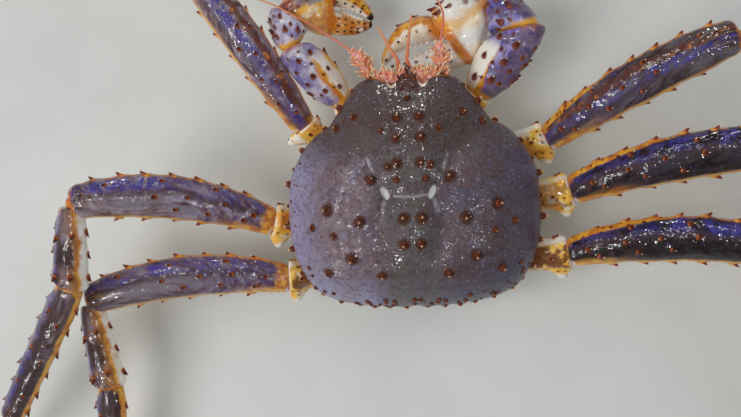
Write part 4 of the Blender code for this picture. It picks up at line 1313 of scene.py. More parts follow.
    def height(self, xy: Array, fine: bool = True) -> Array:
        """Height of the back over points in plan.

        Args:
            xy: points in plan.
            fine: whether the small folds and lumps are added.

        Returns:
            Heights in millimetres.
        """
        x, y = np.abs(xy[..., 0]), xy[..., 1]
        dome = (1 - self.share(xy) ** 2.6) ** 0.62
        rim = self.rim(y)
        height = rim + (self.crown_z - rim) * dome
        for cx, cy, sx, sy, lift in self.swellings:
            height += dome * lift * np.exp(-(((x - cx) / sx) ** 2) - ((y - cy) / sy) ** 2)
        folded = np.stack([x, y], axis=-1)
        for line in (self.neck_groove, self.heart_groove):
            near = line_distance(folded, line)
            height -= self.groove_depth * dome * bell(near, self.groove_spread)
            if fine:
                height -= 0.2 * dome * bell(near, 2.0)
        if fine:
            spread = np.concatenate([xy, np.zeros(xy.shape[:-1] + (1,))], axis=-1)
            height += dome * sum(deep * lumps(spread, size, seed) for deep, size, seed in self.folds)
        return height

    def spines(self, dice: random.Random) -> list[Growth]:
        """The paired spines of the back and the rim, where the solid has them."""
        made, detail = [], random.Random(DETAIL_SEED + 6)
        for half_x, y, length in self.back_spines:
            for side in (-1, 1):
                x = side * half_x + dice.uniform(-0.8, 0.8)
                tall = length * dice.uniform(0.92, 1.08)
                spot = vec((x, y))
                step = vec(((2.0, 0), (-2.0, 0), (0, 2.0), (0, -2.0)))
                z = self.height(spot + step, fine=False)
                out = unit(vec(((z[1] - z[0]) / 4, (z[3] - z[2]) / 4, 1.0)))
                root = vec((x, y, float(self.height(spot[None])[0])))
                made.append(Growth(root, out, vec((0, -0.35, 0.1)), tall * 1.02, 0.5 + tall * 0.52))
        for bearing, length in self.edge_spines:
            for side in (-1, 1):
                angle = bearing if side > 0 else 180 - bearing
                spots = []
                for turn, share in ((0, 0.985), (3, 1.0), (-3, 1.0)):
                    reach = self.coarse_radius(angle + turn) * share
                    spots.append(vec((reach * math.cos(math.radians(angle + turn)),
                                      reach * math.sin(math.radians(angle + turn)))))
                tangent = unit(spots[1] - spots[2])
                out = unit(vec((tangent[1], -tangent[0], 0.35)))
                tall = length * dice.uniform(0.92, 1.08)
                root = vec((*spots[0], float(self.rim(spots[0][1])) + 1.0))
                shorter, width = ((0.48, 0.68), 0.46) if bearing < -30 else ((0.74, 1.02), 0.50)
                lean, less = vec((0, 0.6, 0.6)), detail.uniform(*shorter)
                made.append(Growth(root, out, lean, tall * less, 0.8 + tall * width))
        return made

    def rostrum(self) -> list[Growth]:
        """The rostrum's forked spines."""
        made = []
        for root, tip, wide, sides in self.beak_spines:
            for side in sides:
                start, end = vec(root) * (side, 1, 1), vec(tip) * (side, 1, 1)
                tall = float(np.linalg.norm(end - start))
                made.append(Growth(start, unit(end - start), vec((0, 0, 1.0)), tall, wide))
        return made

    def granules(self) -> list[Growth]:
        """Small red knobs scattered over the front and along the rim."""
        dice = random.Random(DETAIL_SEED)
        made = []
        for _ in range(self.granule_count):
            bearing = dice.uniform(-90, 270)
            share = dice.uniform(0.90, 0.985) if dice.random() < 0.4 else math.sqrt(dice.random()) * 0.9
            reach = self.coarse_radius(bearing) * share
            x, y = reach * math.cos(math.radians(bearing)), reach * math.sin(math.radians(bearing))
            if y < 34 and (share < 0.90 or dice.random() < 0.4):
                continue
            z = float(self.height(vec([(x, y)]))[0])
            tall = dice.uniform(0.5, 1.3) * (2.2 if y < -34 else 1.0)
            out = unit(vec((x * 0.006, y * 0.004, 1.0)))
            made.append(Growth(vec((x, y, z - 0.1)), out, vec((0, -1, 0)), tall, tall * 0.75))
        return made

    def rosettes(self, spines: list[Growth]) -> list[Growth]:
        """Rings of granules round the roots of the spines.

        Args:
            spines: the spines to surround.

        Returns:
            The granules.
        """
        dice = random.Random(DETAIL_SEED + 5)
        made = []
        for spine in spines:
            side = unit(np.cross(spine.out, (0.3, 1.0, 0.1)))
            other = np.cross(spine.out, side)
            count = 6 + int(spine.wide * 1.5)
            for k in range(count):
                turn = 2 * math.pi * (k + dice.uniform(-0.3, 0.3)) / count
                reach = spine.wide * dice.uniform(0.78, 1.08)
                spot = spine.root + side * reach * math.cos(turn) + other * reach * math.sin(turn)
                tall = dice.uniform(0.7, 1.3)
                made.append(Growth(spot, spine.out, other, tall, tall * 0.9))
        return made

    @staticmethod
    def strip(above: list[int], below: list[int]) -> Faces:
        """Faces between two closed rows of vertices."""
        return list(zip(above, above[1:] + above[:1], below[1:] + below[:1], below))

    def face_roof(self, points: Array) -> Array:
        """Height of the slope that the shell keeps over the face."""
        return self.floor_z + (points[:, 1] - FACE_START_Y) * FACE_SLOPE

    def skin_points(self) -> tuple[Array, Faces, int]:
        """The shell as a domed grid, its rim rolled under, and its underside.

        Returns:
            Its points, its faces, and how many of the points are on the upper side.
        """
        n = self.grid
        line = np.linspace(-1, 1, n + 1)
        u, v = np.meshgrid(line, line)
        x, y = u * np.sqrt(1 - v * v / 2), v * np.sqrt(1 - u * u / 2)
        share, bearing = np.clip(np.hypot(x, y), 0, 1), np.degrees(np.arctan2(y, x))
        reach = self.radius(bearing) * share
        xy = np.stack([reach * np.cos(np.radians(bearing)), reach * np.sin(np.radians(bearing))], axis=-1)
        upper = np.concatenate([xy, self.height(xy)[..., None]], axis=-1).reshape(-1, 3)
        wide = n + 1
        faces = [(r * wide + k, r * wide + k + 1, (r + 1) * wide + k + 1, (r + 1) * wide + k)
                 for r in range(n) for k in range(n)]
        back, right = list(range(n)), [k * wide + n for k in range(n)]
        front, left = [n * wide + n - k for k in range(n)], [(n - k) * wide for k in range(n)]
        rim = back + right + front + left
        edge, rows = upper[rim], []
        for drop in np.linspace(0.06, 1.0, self.rolled_rows):
            inset = 1 - 0.17 * drop**1.6
            low = edge * (inset, inset, 1.0)
            low[:, 2] += (self.floor_z - edge[:, 2]) * drop
            low[:, 2] = np.maximum(low[:, 2], self.face_roof(low))
            low[:, 2] = np.minimum(low[:, 2], edge[:, 2] - 0.5 * drop)
            rows.append(low)
        last = 1.0
        for share in self.under_shares:
            low = low * (share / last, share / last, 1.0)
            low[:, 2] = np.maximum(self.floor_z, self.face_roof(low))
            rows.append(low)
            last = share
        above, count = rim, len(upper)
        for _ in rows:
            below = list(range(count, count + len(rim)))
            faces += self.strip(above, below)
            above, count = below, count + len(rim)
        faces += [(a, b, count) for a, b in zip(above, above[1:] + above[:1])]
        return np.concatenate([upper, *rows, low.mean(axis=0)[None]]), faces, len(upper)

    def patch(self, xy: Array, patches: object) -> Array:
        """How much of each point lies in drop-shaped patches.

        Args:
            xy: points in plan.
            patches: rows of place, half sizes, turn and amount.

        Returns:
            One value from 0 to 1 for each point.
        """
        found = np.zeros(len(xy))
        for cx, cy, half_x, half_y, turn, amount in patches:
            c, s = math.cos(math.radians(turn)), math.sin(math.radians(turn))
            dx, dy = xy[:, 0] - cx, xy[:, 1] - cy
            a, b = (dx * c + dy * s) / half_x, (dy * c - dx * s) / half_y
            found = np.maximum(found, amount * ease((1.25 - np.hypot(a, b)) / 0.45))
        return found

    def build(self, dice: random.Random, finishes: "Finishes") -> None:
        """Makes and dresses the back shell.

        Args:
            dice: the shared chance of all spines.
            finishes: the materials.
        """
        spines, rostrum = self.spines(dice), self.rostrum()
        points, faces, upper = self.skin_points()
        rise, near = spine_field(points, spines + rostrum)
        xy = points[:, :2]
        folded = np.stack([np.abs(xy[:, 0]), xy[:, 1]], axis=-1)
        # How near each point is to the neck and heart grooves, where painted shade is laid.
        groove = np.maximum(bell(line_distance(folded, self.neck_groove), 3.2),
                            0.7 * bell(line_distance(folded, self.heart_groove), 3.2))
        seam = bell(line_distance(folded, ((0, 5.2), (11, 6.2))), 0.6)
        points[:, 2] += rise * (np.arange(len(points)) < upper)
        reach = np.hypot(xy[:, 0], xy[:, 1])
        border = reach / self.radius(np.degrees(np.arctan2(xy[:, 1], np.abs(xy[:, 0]))))
        gut = 1 - ease((np.abs(xy[:, 0]) - (8 + 0.55 * np.clip(xy[:, 1] - 5, 0, 60))) / 12) * (xy[:, 1] > 4)
        gut = np.where(xy[:, 1] > 4, gut, 1 - ease((np.abs(xy[:, 0]) - 14) / 10))
        made = mesh_object("shell_carapace", points, faces, {
            "near": near, "groove": groove,
            "bare": np.maximum(self.patch(xy, self.bare_patches), 0.45 * seam),
            "lavender": self.patch(xy, self.lavender_patches), "middle": gut, "share": self.share(xy),
            "forward": ease((xy[:, 1] - 26) / 26), "under": (np.arange(len(points)) >= upper) * 1.0,
            "orbit": bell(np.hypot(folded[:, 0] - 11, folded[:, 1] - 82), 4.6) * ease((border - 0.95) / 0.04),
            "border": border,
            # Left flank, where a paler tone and painted sheen are laid.
            "flank": ease((-xy[:, 0] - 8) / 34) * ease((58 - xy[:, 1]) / 44),
            # Right rear of the back, where painted shade is laid.
            "far_flank": ease((xy[:, 0] - xy[:, 1] * 0.8 - 34) / 60),
            "beak": bell(folded[:, 0], 11) * ease((folded[:, 1] - 74) / 10),
        })
        dress(made, finishes.back, Slot.BACK, "carapace")
        rim = spines[2 * len(self.back_spines):]
        middle = spines[:2 * len(self.back_spines)] + rostrum
        dress(BOSS.grow("spines_carapace", middle, finishes.back_spine), finishes.back_spine, Slot.BACK)
        dress(BOSS.grow("spines_rim", rim, finishes.rim_spine), finishes.rim_spine, Slot.BACK)
        grains = self.granules() + self.rosettes(spines)
        dress(KNOB.grow("granules_carapace", grains, finishes.granule), finishes.granule, Slot.BACK)


# Underside and face


@dataclass
class Underside:
    """The chest plates, the block behind the face and the folded tail flap."""

    thorax_z: tuple[float, float] = (12.2, 34.0)
    tail_floor: float = 0.02
    head_stations = ((56.3, 17.0, 13.0), (66.0, 22.0, 15.0), (80.0, 26.0, 24.0))
    tail_stations = (
        (-54.3, 28.0, 25, 4.8), (-58.0, 28.4, 29, 5.2), (-64.6, 25.9, 35, 5.6), (-68.0, 19.2, 40, 5.6),
        (-67.0, 11.6, 43, 5.4), (-62.0, 7.0, 45, 5.8), (-57.0, 5.9, 46, 5.9), (-55.0, 5.7, 46.5, 5.0),
        (-53.0, 5.9, 47, 5.9), (-39.0, 5.9, 46.5, 5.9), (-37.2, 5.7, 46, 5.0), (-35.4, 5.9, 45.5, 5.9),
        (-22.0, 5.9, 42, 5.9), (-20.2, 5.7, 41, 5.0), (-18.4, 5.9, 40, 5.9), (-7.0, 5.9, 35.5, 5.9),
        (10.0, 5.9, 25, 5.8), (11.6, 5.7, 23.6, 5.0), (13.2, 5.9, 22, 5.7), (20.0, 5.8, 14, 5.2),
        (24.0, 5.6, 6, 4.0),
    )
    tail_plates = ((-1.0, 0.0), (-0.94, 0.66), (-0.72, 1.03), (-0.50, 1.03), (-0.42, 0.84), (-0.34, 1.03),
                   (0.34, 1.03), (0.42, 0.84), (0.50, 1.03), (0.72, 1.03), (0.94, 0.66), (1.0, 0.0))

    def thorax(self) -> bpy.types.Object:
        """The chest, with a groove between the plates that carry each pair of legs."""
        right = facet_corners()
        plan = np.concatenate([right, right[::-1] * (-1, 1)])
        closed = np.concatenate([plan, plan[:1]])
        steps = np.linspace(0, len(plan), 240, endpoint=False)
        xy = np.column_stack([np.interp(steps, range(len(closed)), closed[:, k]) for k in (0, 1)])
        corner = np.abs(steps - np.round(steps))
        low, high = self.thorax_z
        rings = []
        for drop in (0.0, 0.02, 0.07, 0.16, 0.3, 0.5, 0.7, 0.84, 0.93, 0.98, 1.0):
            inset = 1 - 0.06 * (abs(drop - 0.5) * 2) ** 4 - 0.02 * bell(corner, 0.05)
            z = np.full(len(xy), low + (high - low) * drop)
            rings.append(np.column_stack([xy * inset[:, None], z]))
        groove = 0.9 * bell(corner, 0.06)
        under = [np.column_stack([rings[0][:, :2] * share, low + groove * (share > 0.3)])
                 for share in (0.15, 0.35, 0.55, 0.75, 0.9)]
        return skin("shell_thorax", vec(under + rings))

    def head(self) -> bpy.types.Object:
        """The block behind the face, rounded at its edges."""
        rings = []
        angle = np.linspace(0, 2 * math.pi, 64, endpoint=False)
        c, s = np.cos(angle), np.sin(angle)
        square = np.maximum(np.abs(c), np.abs(s)) ** -0.82
        table = vec(self.head_stations)
        for y in (56.4, 57.2, 59, 62, 66, 70, 74, 77, 78.6, 79.4, 79.8):
            half, foot = (np.interp(y, table[:, 0], table[:, k]) for k in (1, 2))
            top = BACK_FLOOR_Z + (y - FACE_START_Y) * FACE_SLOPE - 0.36
            round_off = 1 - 0.10 * (max(0, 1 - min(y - 56.4, 79.8 - y) / 3)) ** 2
            rings.append(np.column_stack([
                c * square * half * round_off, np.full(len(angle), y),
                (top + foot) / 2 + s * square * (top - foot) / 2 * round_off]))
        return skin("shell_head", vec(rings))

    def tail(self) -> bpy.types.Object:
        """The tail flap: broad plates with grooves between them, flat where it rests on the floor."""
        table = vec(self.tail_stations)
        reach = run(table[:, :2])
        t = np.linspace(0, 1, 150)
        fine = flowing(np.column_stack([reach / reach[-1], table]), t)
        way = unit(np.gradient(fine[:, :2], axis=0))
        plates = vec(self.tail_plates)
        turn = np.linspace(0, 1, 60)
        span = run(plates)
        outer = flowing(np.column_stack([span / span[-1], plates]), turn)
        inner = np.column_stack([np.linspace(0.97, -0.97, 30), -0.98 * (1 - np.linspace(-1, 1, 30) ** 6)])
        ring = np.concatenate([outer, inner])
        centre = np.column_stack([np.zeros(len(t)), fine[:, :2]])
        outward = np.column_stack([np.zeros(len(t)), way[:, 1], -way[:, 0]])
        close = np.clip(np.minimum(t, 1 - t) / 0.012, 0.25, 1) ** 0.5
        rings = (centre[:, None] + vec((1, 0, 0)) * (ring[:, 0] * fine[:, 2:3] * close[:, None])[..., None]
                 + outward[:, None] * (ring[:, 1] * fine[:, 3:4] * close[:, None])[..., None])
        rings = rings + outward[:, None] * (0.25 * lumps(rings, 9, 21))[..., None]
        rings[..., 2] = np.maximum(rings[..., 2], self.tail_floor)
        return skin("shell_abdomen", rings, {"rear": ease((-rings[..., 1] - 50) / 9),
                                             "seam": bell(fine[:, 3:4] - fine[:, 3:4].min(), 0.35)})

    def knobs(self, tail: bpy.types.Object) -> list[Growth]:
        """Small knobs over the part of the tail flap that shows behind the back shell.

        Args:
            tail: the tail flap.

        Returns:
            The knobs.
        """
        dice = random.Random(DETAIL_SEED + 7)
        made = []
        for face in tail.data.polygons:
            middle, out = vec(face.center) / MM, vec(face.normal)
            if middle[1] < -56 and out[1] < -0.2 and dice.random() < 0.05:
                tall = dice.uniform(0.8, 2.0)
                made.append(Growth(middle, out, vec((0, 0, 1)), tall, tall * 0.8))
        return made

    def build(self, finishes: "Finishes") -> None:
        """Makes and dresses the underside."""
        dress(self.thorax(), finishes.pale, Slot.PALE, "thorax")
        dress(self.head(), finishes.pale, Slot.PALE, "head")
        tail = self.tail()
        knobs = self.knobs(tail)
        dress(tail, finishes.tail, Slot.PALE, "abdomen")
        dress(KNOB.grow("granules_abdomen", knobs, finishes.granule), finishes.granule, Slot.BACK)


@dataclass
class Face:
    """Eyes, antennules, antennae and mouth limbs on one side."""

    side: Side
    root_y: float = 80.3
    eye_root: tuple[float, float] = (9.6, 47.5)
    eye_tip: Point = (12.2, 94.5, 60.5)
    eye_shape = ((0, 2.6), (0.2, 2.3), (0.5, 2.1), (0.66, 2.3), (0.8, 2.7), (0.9, 2.6), (0.97, 2.0), (1, 1.2))
    antennule_root: tuple[float, float] = (4.0, 39)
    antennules = {
        Side.LEFT: ((-4.8, 91, 53), (-6.0, 101, 61), (-13, 113, 64), (-19, 124, 67)),
        Side.RIGHT: ((3.6, 91, 53), (0.5, 101, 61), (2.4, 115, 66), (5.2, 130, 70)),
    }
    antennule_radii: tuple[float, ...] = (1.8, 1.7, 1.4, 1.0, 0.6)
    antenna_root: tuple[float, float] = (17.5, 41)
    antennae = {
        Side.LEFT: ((-24, 90, 50), (-29, 99, 58), (-35, 107, 64)),
        Side.RIGHT: ((22, 90, 50), (23.5, 99, 58), (22.5, 107, 64)),
    }
    antenna_radii: tuple[float, ...] = (4.2, 4.0, 3.4, 2.2)
    flagella = {
        Side.LEFT: ((-34, 106, 63), (-50, 117, 71), (-70, 129, 80), (-90, 140, 83), (-112, 149, 79)),
        Side.RIGHT: ((22.5, 106, 63), (25, 115, 71), (26.5, 126, 76), (22, 137, 78), (11, 148, 77)),
    }
    flagellum_radii: tuple[float, ...] = (1.05, 0.85, 0.7, 0.55, 0.42)
    acicles = (
        (0.35, 0.80, 0.45, 10.5), (0.80, 0.55, 0.30, 9.2), (-0.30, 0.85, 0.50, 8.0), (0.95, 0.10, 0.35, 9.0),
        (-0.65, 0.45, 0.60, 8.0), (0.60, 0.20, 0.80, 8.0),
    )
    maxilliped_root: tuple[float, float] = (8.5, 31)
    maxilliped: tuple[Point, ...] = ((10.0, 85, 30.5), (11.0, 88.5, 25), (9.5, 89, 17), (7.0, 84, 13))
    maxilliped_radii: tuple[float, ...] = (4.4, 4.4, 4.0, 3.0, 1.6)
    stalk_thorns: int = 70
    brow_thorns: int = 90
    mouth_hairs: int = 90

    def root(self, place: tuple[float, float]) -> Point:
        """A point on the front of the head."""
        return (self.side.value * place[0], self.root_y, place[1])

    def segmented(
        self, name: str, points: list[Point], radii: tuple[float, ...], material: bpy.types.Material
    ) -> bpy.types.Object:
        """A limb of the face: a stalk with a pinch at each of its joints.

        Args:
            name: the object's name.
            points: its joints.
            radii: its radius at each.
            material: its finish.

        Returns:
            The object.
        """
        way, thick = [], []
        for k, (a, b) in enumerate(zip(points, points[1:])):
            for s, pinch in ((0.0, 0.84), (0.14, 1.04), (0.5, 0.98), (0.86, 1.06)):
                way.append(vec(a) + (vec(b) - vec(a)) * s)
                thick.append((radii[k] + (radii[k + 1] - radii[k]) * s) * pinch)
        way.append(vec(points[-1]))
        thick.append(radii[-1])
        return FEELER.sweep(name, [(way, thick, 0.0)], material)

    def limb(
        self, name: str, node: str, points: list[Point], radii: tuple[float, ...], finish: bpy.types.Material
    ) -> None:
        """Makes and dresses a limb of the face.

        Args:
            name: the piece's name, without its side.
            node: the name of its solid, without its side.
            points: its joints.
            radii: its radius at each.
            finish: its material.
        """
        made = self.segmented(f"{name}_{self.side.word}", points, radii, finish)
        dress(made, finish, Slot.FEELER, f"{node}_{self.side.word}")

    def eye(self, finishes: "Finishes") -> None:
        """Makes the eye on its stalk."""
        start = vec(self.root(self.eye_root))
        tip = vec(self.eye_tip) * (self.side.value, 1, 1)
        t = np.linspace(0, 1, 44)
        radius = flowing(self.eye_shape, t)[:, 0] * (1 - 0.55 * bell(1 - t, 0.05))
        along = unit(tip - start)
        side = unit(np.cross(along, (1.0, 0, 0)))
        other = np.cross(along, side)
        angle = np.linspace(0, 2 * math.pi, 40, endpoint=False)
        arm = side * np.cos(angle)[:, None] + other * np.sin(angle)[:, None]
        rings = start + (tip - start) * t[:, None, None] + arm * radius[:, None, None]
        made = skin(f"shell_eye_{self.side.word}", rings, {"along": t[:, None]})
        dress(made, finishes.eye, Slot.EYE, f"eye_{self.side.word}")

    def thrown(self, dice: random.Random, *ranges: tuple[float, float]) -> Array:
        """A random place or direction within ranges, mirrored with the side."""
        return vec([dice.uniform(*ends) for ends in ranges]) * (self.side.value, 1, 1)

    @staticmethod
    def on(line: Array, t: float) -> Array:
        """The point of an open line at a number of joints and a share."""
        k = int(t)
        return line[k] + (line[min(k + 1, len(line) - 1)] - line[k]) * (t % 1)

    def thorns(self, dice: random.Random) -> list[Growth]:
        """The sharp spines round the roots of the feelers.

        Args:
            dice: the chance of their places.

        Returns:
            The spines.
        """
        made, up = [], vec((0, 0, 1))
        middle = vec(self.antennae[self.side][1])
        for x, y, z, length in self.acicles:
            out = unit(vec((x * self.side.value, y, z)))
            made.append(Growth(middle + out, out, up, length * 1.25, 3.6))
        line = vec([self.root(self.antenna_root), *self.antennae[self.side]])
        for _ in range(self.stalk_thorns):
            spot = self.on(line, dice.uniform(0.5, 3.0))
            out = unit(self.thrown(dice, (-0.7, 1.0), (-0.1, 1.0), (0.0, 1.2)))
            made.append(Growth(spot + out * 1.8, out, up, dice.uniform(4.5, 10.0), dice.uniform(1.8, 3.2)))
        for _ in range(self.brow_thorns):
            spot = self.thrown(dice, (2, 27), (86, 92), (55, 62))
            out = unit(self.thrown(dice, (-0.5, 0.8), (0.3, 1.0), (0.3, 1.0)))
            made.append(Growth(spot, out, up, dice.uniform(4.5, 11.0), dice.uniform(1.9, 3.0)))
        return made

    def build(self, finishes: "Finishes") -> None:
        """Makes and dresses one side of the face."""
        word = self.side.word
        dice = random.Random(DETAIL_SEED + 10 + self.side.value)
        self.eye(finishes)
        inner = [self.root(self.antennule_root), *self.antennules[self.side]]
        self.limb("antennule_stalk", "antennule", inner, self.antennule_radii, finishes.feeler)
        outer = [self.root(self.antenna_root), *self.antennae[self.side]]
        self.limb("antenna_stalk", "antenna", outer, self.antenna_radii, finishes.feeler)
        lash = [(self.flagella[self.side], self.flagellum_radii, 0.14)]
        dress(FEELER.sweep(f"antenna_lash_{word}", lash, finishes.feeler), finishes.feeler, Slot.FEELER)
        thorns = SPINE.grow(f"antenna_thorns_{word}", self.thorns(dice), finishes.thorn)
        dress(thorns, finishes.thorn, Slot.FEELER)
        flip = (self.side.value, 1, 1)
        mouth = vec([self.root(self.maxilliped_root), *(vec(p) * flip for p in self.maxilliped)])
        self.limb("mouth_limb", "maxilliped", mouth, self.maxilliped_radii, finishes.mouth)
        hairs = []
        for _ in range(self.mouth_hairs):
            spot = self.on(mouth, dice.uniform(1.0, 3.8))
            out = unit(self.thrown(dice, (-0.3, -1.0), (-0.2, 0.8), (-0.6, 0.6)))
            hairs.append(Growth(spot + out * 2.2, out, vec((0, 0, -1)), dice.uniform(2.5, 5.0), 0.22))
        dress(BRISTLE.grow(f"mouth_hairs_{word}", hairs, finishes.bristle), finishes.bristle, Slot.FEELER)



# Finishes

Colour = tuple[float, float, float]


def tint(red: int, green: int, blue: int) -> Colour:
    """A screen colour of 0 to 255 as a shader's linear colour."""
    shares = [c / 255 for c in (red, green, blue)]
    return tuple(s / 12.92 if s <= 0.04 else ((s + 0.055) / 1.055) ** 2.4 for s in shares)


@dataclass(frozen=True)
class Palette:
    """The colours of the living shell."""

    ash: Colour = tint(134, 126, 134)
    plum: Colour = tint(76, 56, 64)
    umber: Colour = tint(56, 40, 42)
    moss: Colour = tint(98, 94, 90)
    violet: Colour = tint(84, 74, 138)
    cobalt: Colour = tint(64, 58, 158)
    gold: Colour = tint(240, 178, 58)
    amber: Colour = tint(214, 126, 36)
    rust: Colour = tint(120, 46, 20)
    cream: Colour = tint(242, 226, 194)
    bone: Colour = tint(248, 243, 232)
    coral: Colour = tint(206, 100, 76)
    ink: Colour = tint(22, 16, 16)


PALETTE = Palette()


class Paint(Nodes):
    """One wet-shell material, put together from short calls."""

    def __init__(self, name: str, roughness: float = 0.3, coat: float = 0.35) -> None:
        """Starts a Principled material."""
        self.material = bpy.data.materials.new(name)
        self.material.use_nodes = True
        super().__init__(self.material.node_tree)
        self.shader = self.tree.nodes["Principled BSDF"].inputs
        for label, value in (("Roughness", roughness), ("Coat Weight", coat), ("Specular IOR Level", 0.2),
                             ("Coat Roughness", 0.08), ("Coat IOR", 1.6)):
            self.shader[label].default_value = value
        self.coords = self.add("ShaderNodeTexCoord").outputs["Object"]
        self.height: bpy.types.NodeSocket | None = None
        self.colour: object = None

    def mark(self, label: str) -> bpy.types.NodeSocket:
        """An attribute of the mesh."""
        return self.add("ShaderNodeAttribute", attribute_name=label).outputs["Fac"]

    def noise(
        self, size: float, detail: float = 3, rough: float = 0.55, twist: float = 0.0
    ) -> bpy.types.NodeSocket:
        """Clouds of a size in millimetres.

        Args:
            size: about how far apart they are.
            detail: how many finer sizes are added.
            rough: how strong those are.
            twist: how far the clouds are bent.

        Returns:
            A value about 0.5.
        """
        node = self.add("ShaderNodeTexNoise", {
            "Scale": 1 / (size * MM), "Detail": detail, "Roughness": rough, "Distortion": twist,
            "Vector": self.coords})
        return node.outputs["Fac"]

    def streaks(self, size: float, stretch: float = 3.0) -> bpy.types.NodeSocket:
        """Clouds drawn out along a limb, from its marks.

        Args:
            size: their width in millimetres.
            stretch: how many times as long as wide they are.

        Returns:
            A value about 0.5.
        """
        where = self.add("ShaderNodeCombineXYZ", {
            0: self.maths("DIVIDE", self.mark("from_start"), stretch),
            1: self.maths("MULTIPLY", self.mark("lead"), 12.0),
            2: self.pushed(self.maths("MULTIPLY", self.mark("top"), 10.0), self.noise(90, 0), 200.0)})
        node = self.add("ShaderNodeTexNoise", {
            "Scale": 1 / size, "Detail": 4, "Roughness": 0.6, "Vector": where.outputs[0]})
        return node.outputs["Fac"]

    def cells(self, size: float, uneven: float = 1.0) -> bpy.types.NodeSocket:
        """Distance to scattered points a size apart, 0 at each point."""
        node = self.add("ShaderNodeTexVoronoi", {
            "Scale": 1 / (size * MM), "Randomness": uneven, "Vector": self.coords})
        return node.outputs["Distance"]

    def span(self, value: object, low: float, high: float) -> bpy.types.NodeSocket:
        """Eases a value from 0 at low to 1 at high.

        Args:
            value: what is eased.
            low: where the result is 0.
            high: where it is 1.

        Returns:
            The result.
        """
        first, last = (1, 0) if low > high else (0, 1)
        node = self.add("ShaderNodeMapRange", {
            "Value": value, "From Min": min(low, high), "From Max": max(low, high),
            "To Min": first, "To Max": last}, interpolation_type="SMOOTHSTEP")
        return node.outputs["Result"]

    def both(self, *values: object) -> bpy.types.NodeSocket:
        """The product of masks."""
        total = values[0]
        for value in values[1:]:
            total = self.maths("MULTIPLY", total, value)
        return total

    def stray(self, value: object, cloud: object, reach: float) -> bpy.types.NodeSocket:
        """A value that strays both ways with a cloud, by a reach in all."""
        return self.maths("ADD", value, self.maths("MULTIPLY", self.maths("SUBTRACT", cloud, 0.5), reach))

    def pushed(self, value: object, cloud: object, reach: float) -> bpy.types.NodeSocket:
        """A value raised by a cloud, by up to a reach."""
        return self.maths("ADD", value, self.maths("MULTIPLY", cloud, reach))

    def mix(self, amount: object, a: object, b: object) -> bpy.types.NodeSocket:
        """The first colour with an amount of the second over it."""
        return self.add("ShaderNodeMix", {0: amount, 6: a, 7: b}, data_type="RGBA").outputs[2]

    def marbled(
        self, size: float, a: object, b: object, low: float = 0.4, high: float = 0.6
    ) -> bpy.types.NodeSocket:
        """Two colours in clouds of a size in millimetres.

        Args:
            size: how far apart the clouds are.
            a: the colour where the clouds are thin.
            b: the colour where they are thick.
            low: the cloud's value below which only the first shows.
            high: the value above which only the second shows.

        Returns:
            The colour.
        """
        return self.mix(self.span(self.noise(size), low, high), a, b)

    def ground(self, colour: object) -> None:
        """Starts the shell's colour."""
        self.colour = colour

    def lay(self, colour: object, *masks: object) -> None:
        """Lays a colour over the shell's where all masks are full."""
        self.colour = self.mix(self.both(*masks), self.colour, colour)

    def ramp(self, value: object, *stops: tuple[float, Colour]) -> bpy.types.NodeSocket:
        """A colour read from a value by stops.

        Args:
            value: what the colour is read by.
            stops: places and their colours.

        Returns:
            The colour.
        """
        node = self.add("ShaderNodeValToRGB", {"Fac": value})
        band = node.color_ramp.elements
        while len(band) < len(stops):
            band.new(0.5)
        for element, (place, colour) in zip(band, stops):
            element.position = place
            element.color = (*colour, 1.0)
        return node.outputs["Color"]

    def rise(self, value: object, depth: float) -> None:
        """Adds relief of a depth in millimetres to the surface."""
        step = self.add("ShaderNodeBump", {"Distance": depth * MM, "Strength": 1.0, "Height": value})
        if self.height:
            self.plug(step.inputs["Normal"], self.height)
        self.height = step.outputs["Normal"]

    def done(self, roughness: object = None) -> bpy.types.Material:
        """Connects the colour, gloss and relief.

        Args:
            roughness: a value that replaces the plain roughness.

        Returns:
            The material.
        """
        for label, value in (("Base Color", self.colour), ("Roughness", roughness), ("Normal", self.height)):
            if value is not None:
                self.plug(self.shader[label], value)
        return self.material

    def film(self, size: float, depth: float) -> None:
        """Gives the coat of water its own uneven surface.

        Args:
            size: how far apart its ripples are, in millimetres.
            depth: their height, in millimetres.
        """
        kept, self.height = self.height, None
        self.rise(self.noise(size, 2, 0.5), depth)
        self.plug(self.shader["Coat Normal"], self.height)
        self.height = kept

    def wet(self, base: float, reach: float) -> bpy.types.NodeSocket:
        """Roughness of a surface that is wetter in some places than in others."""
        return self.maths("ADD", self.maths("MULTIPLY", self.noise(7, 4), reach), base)


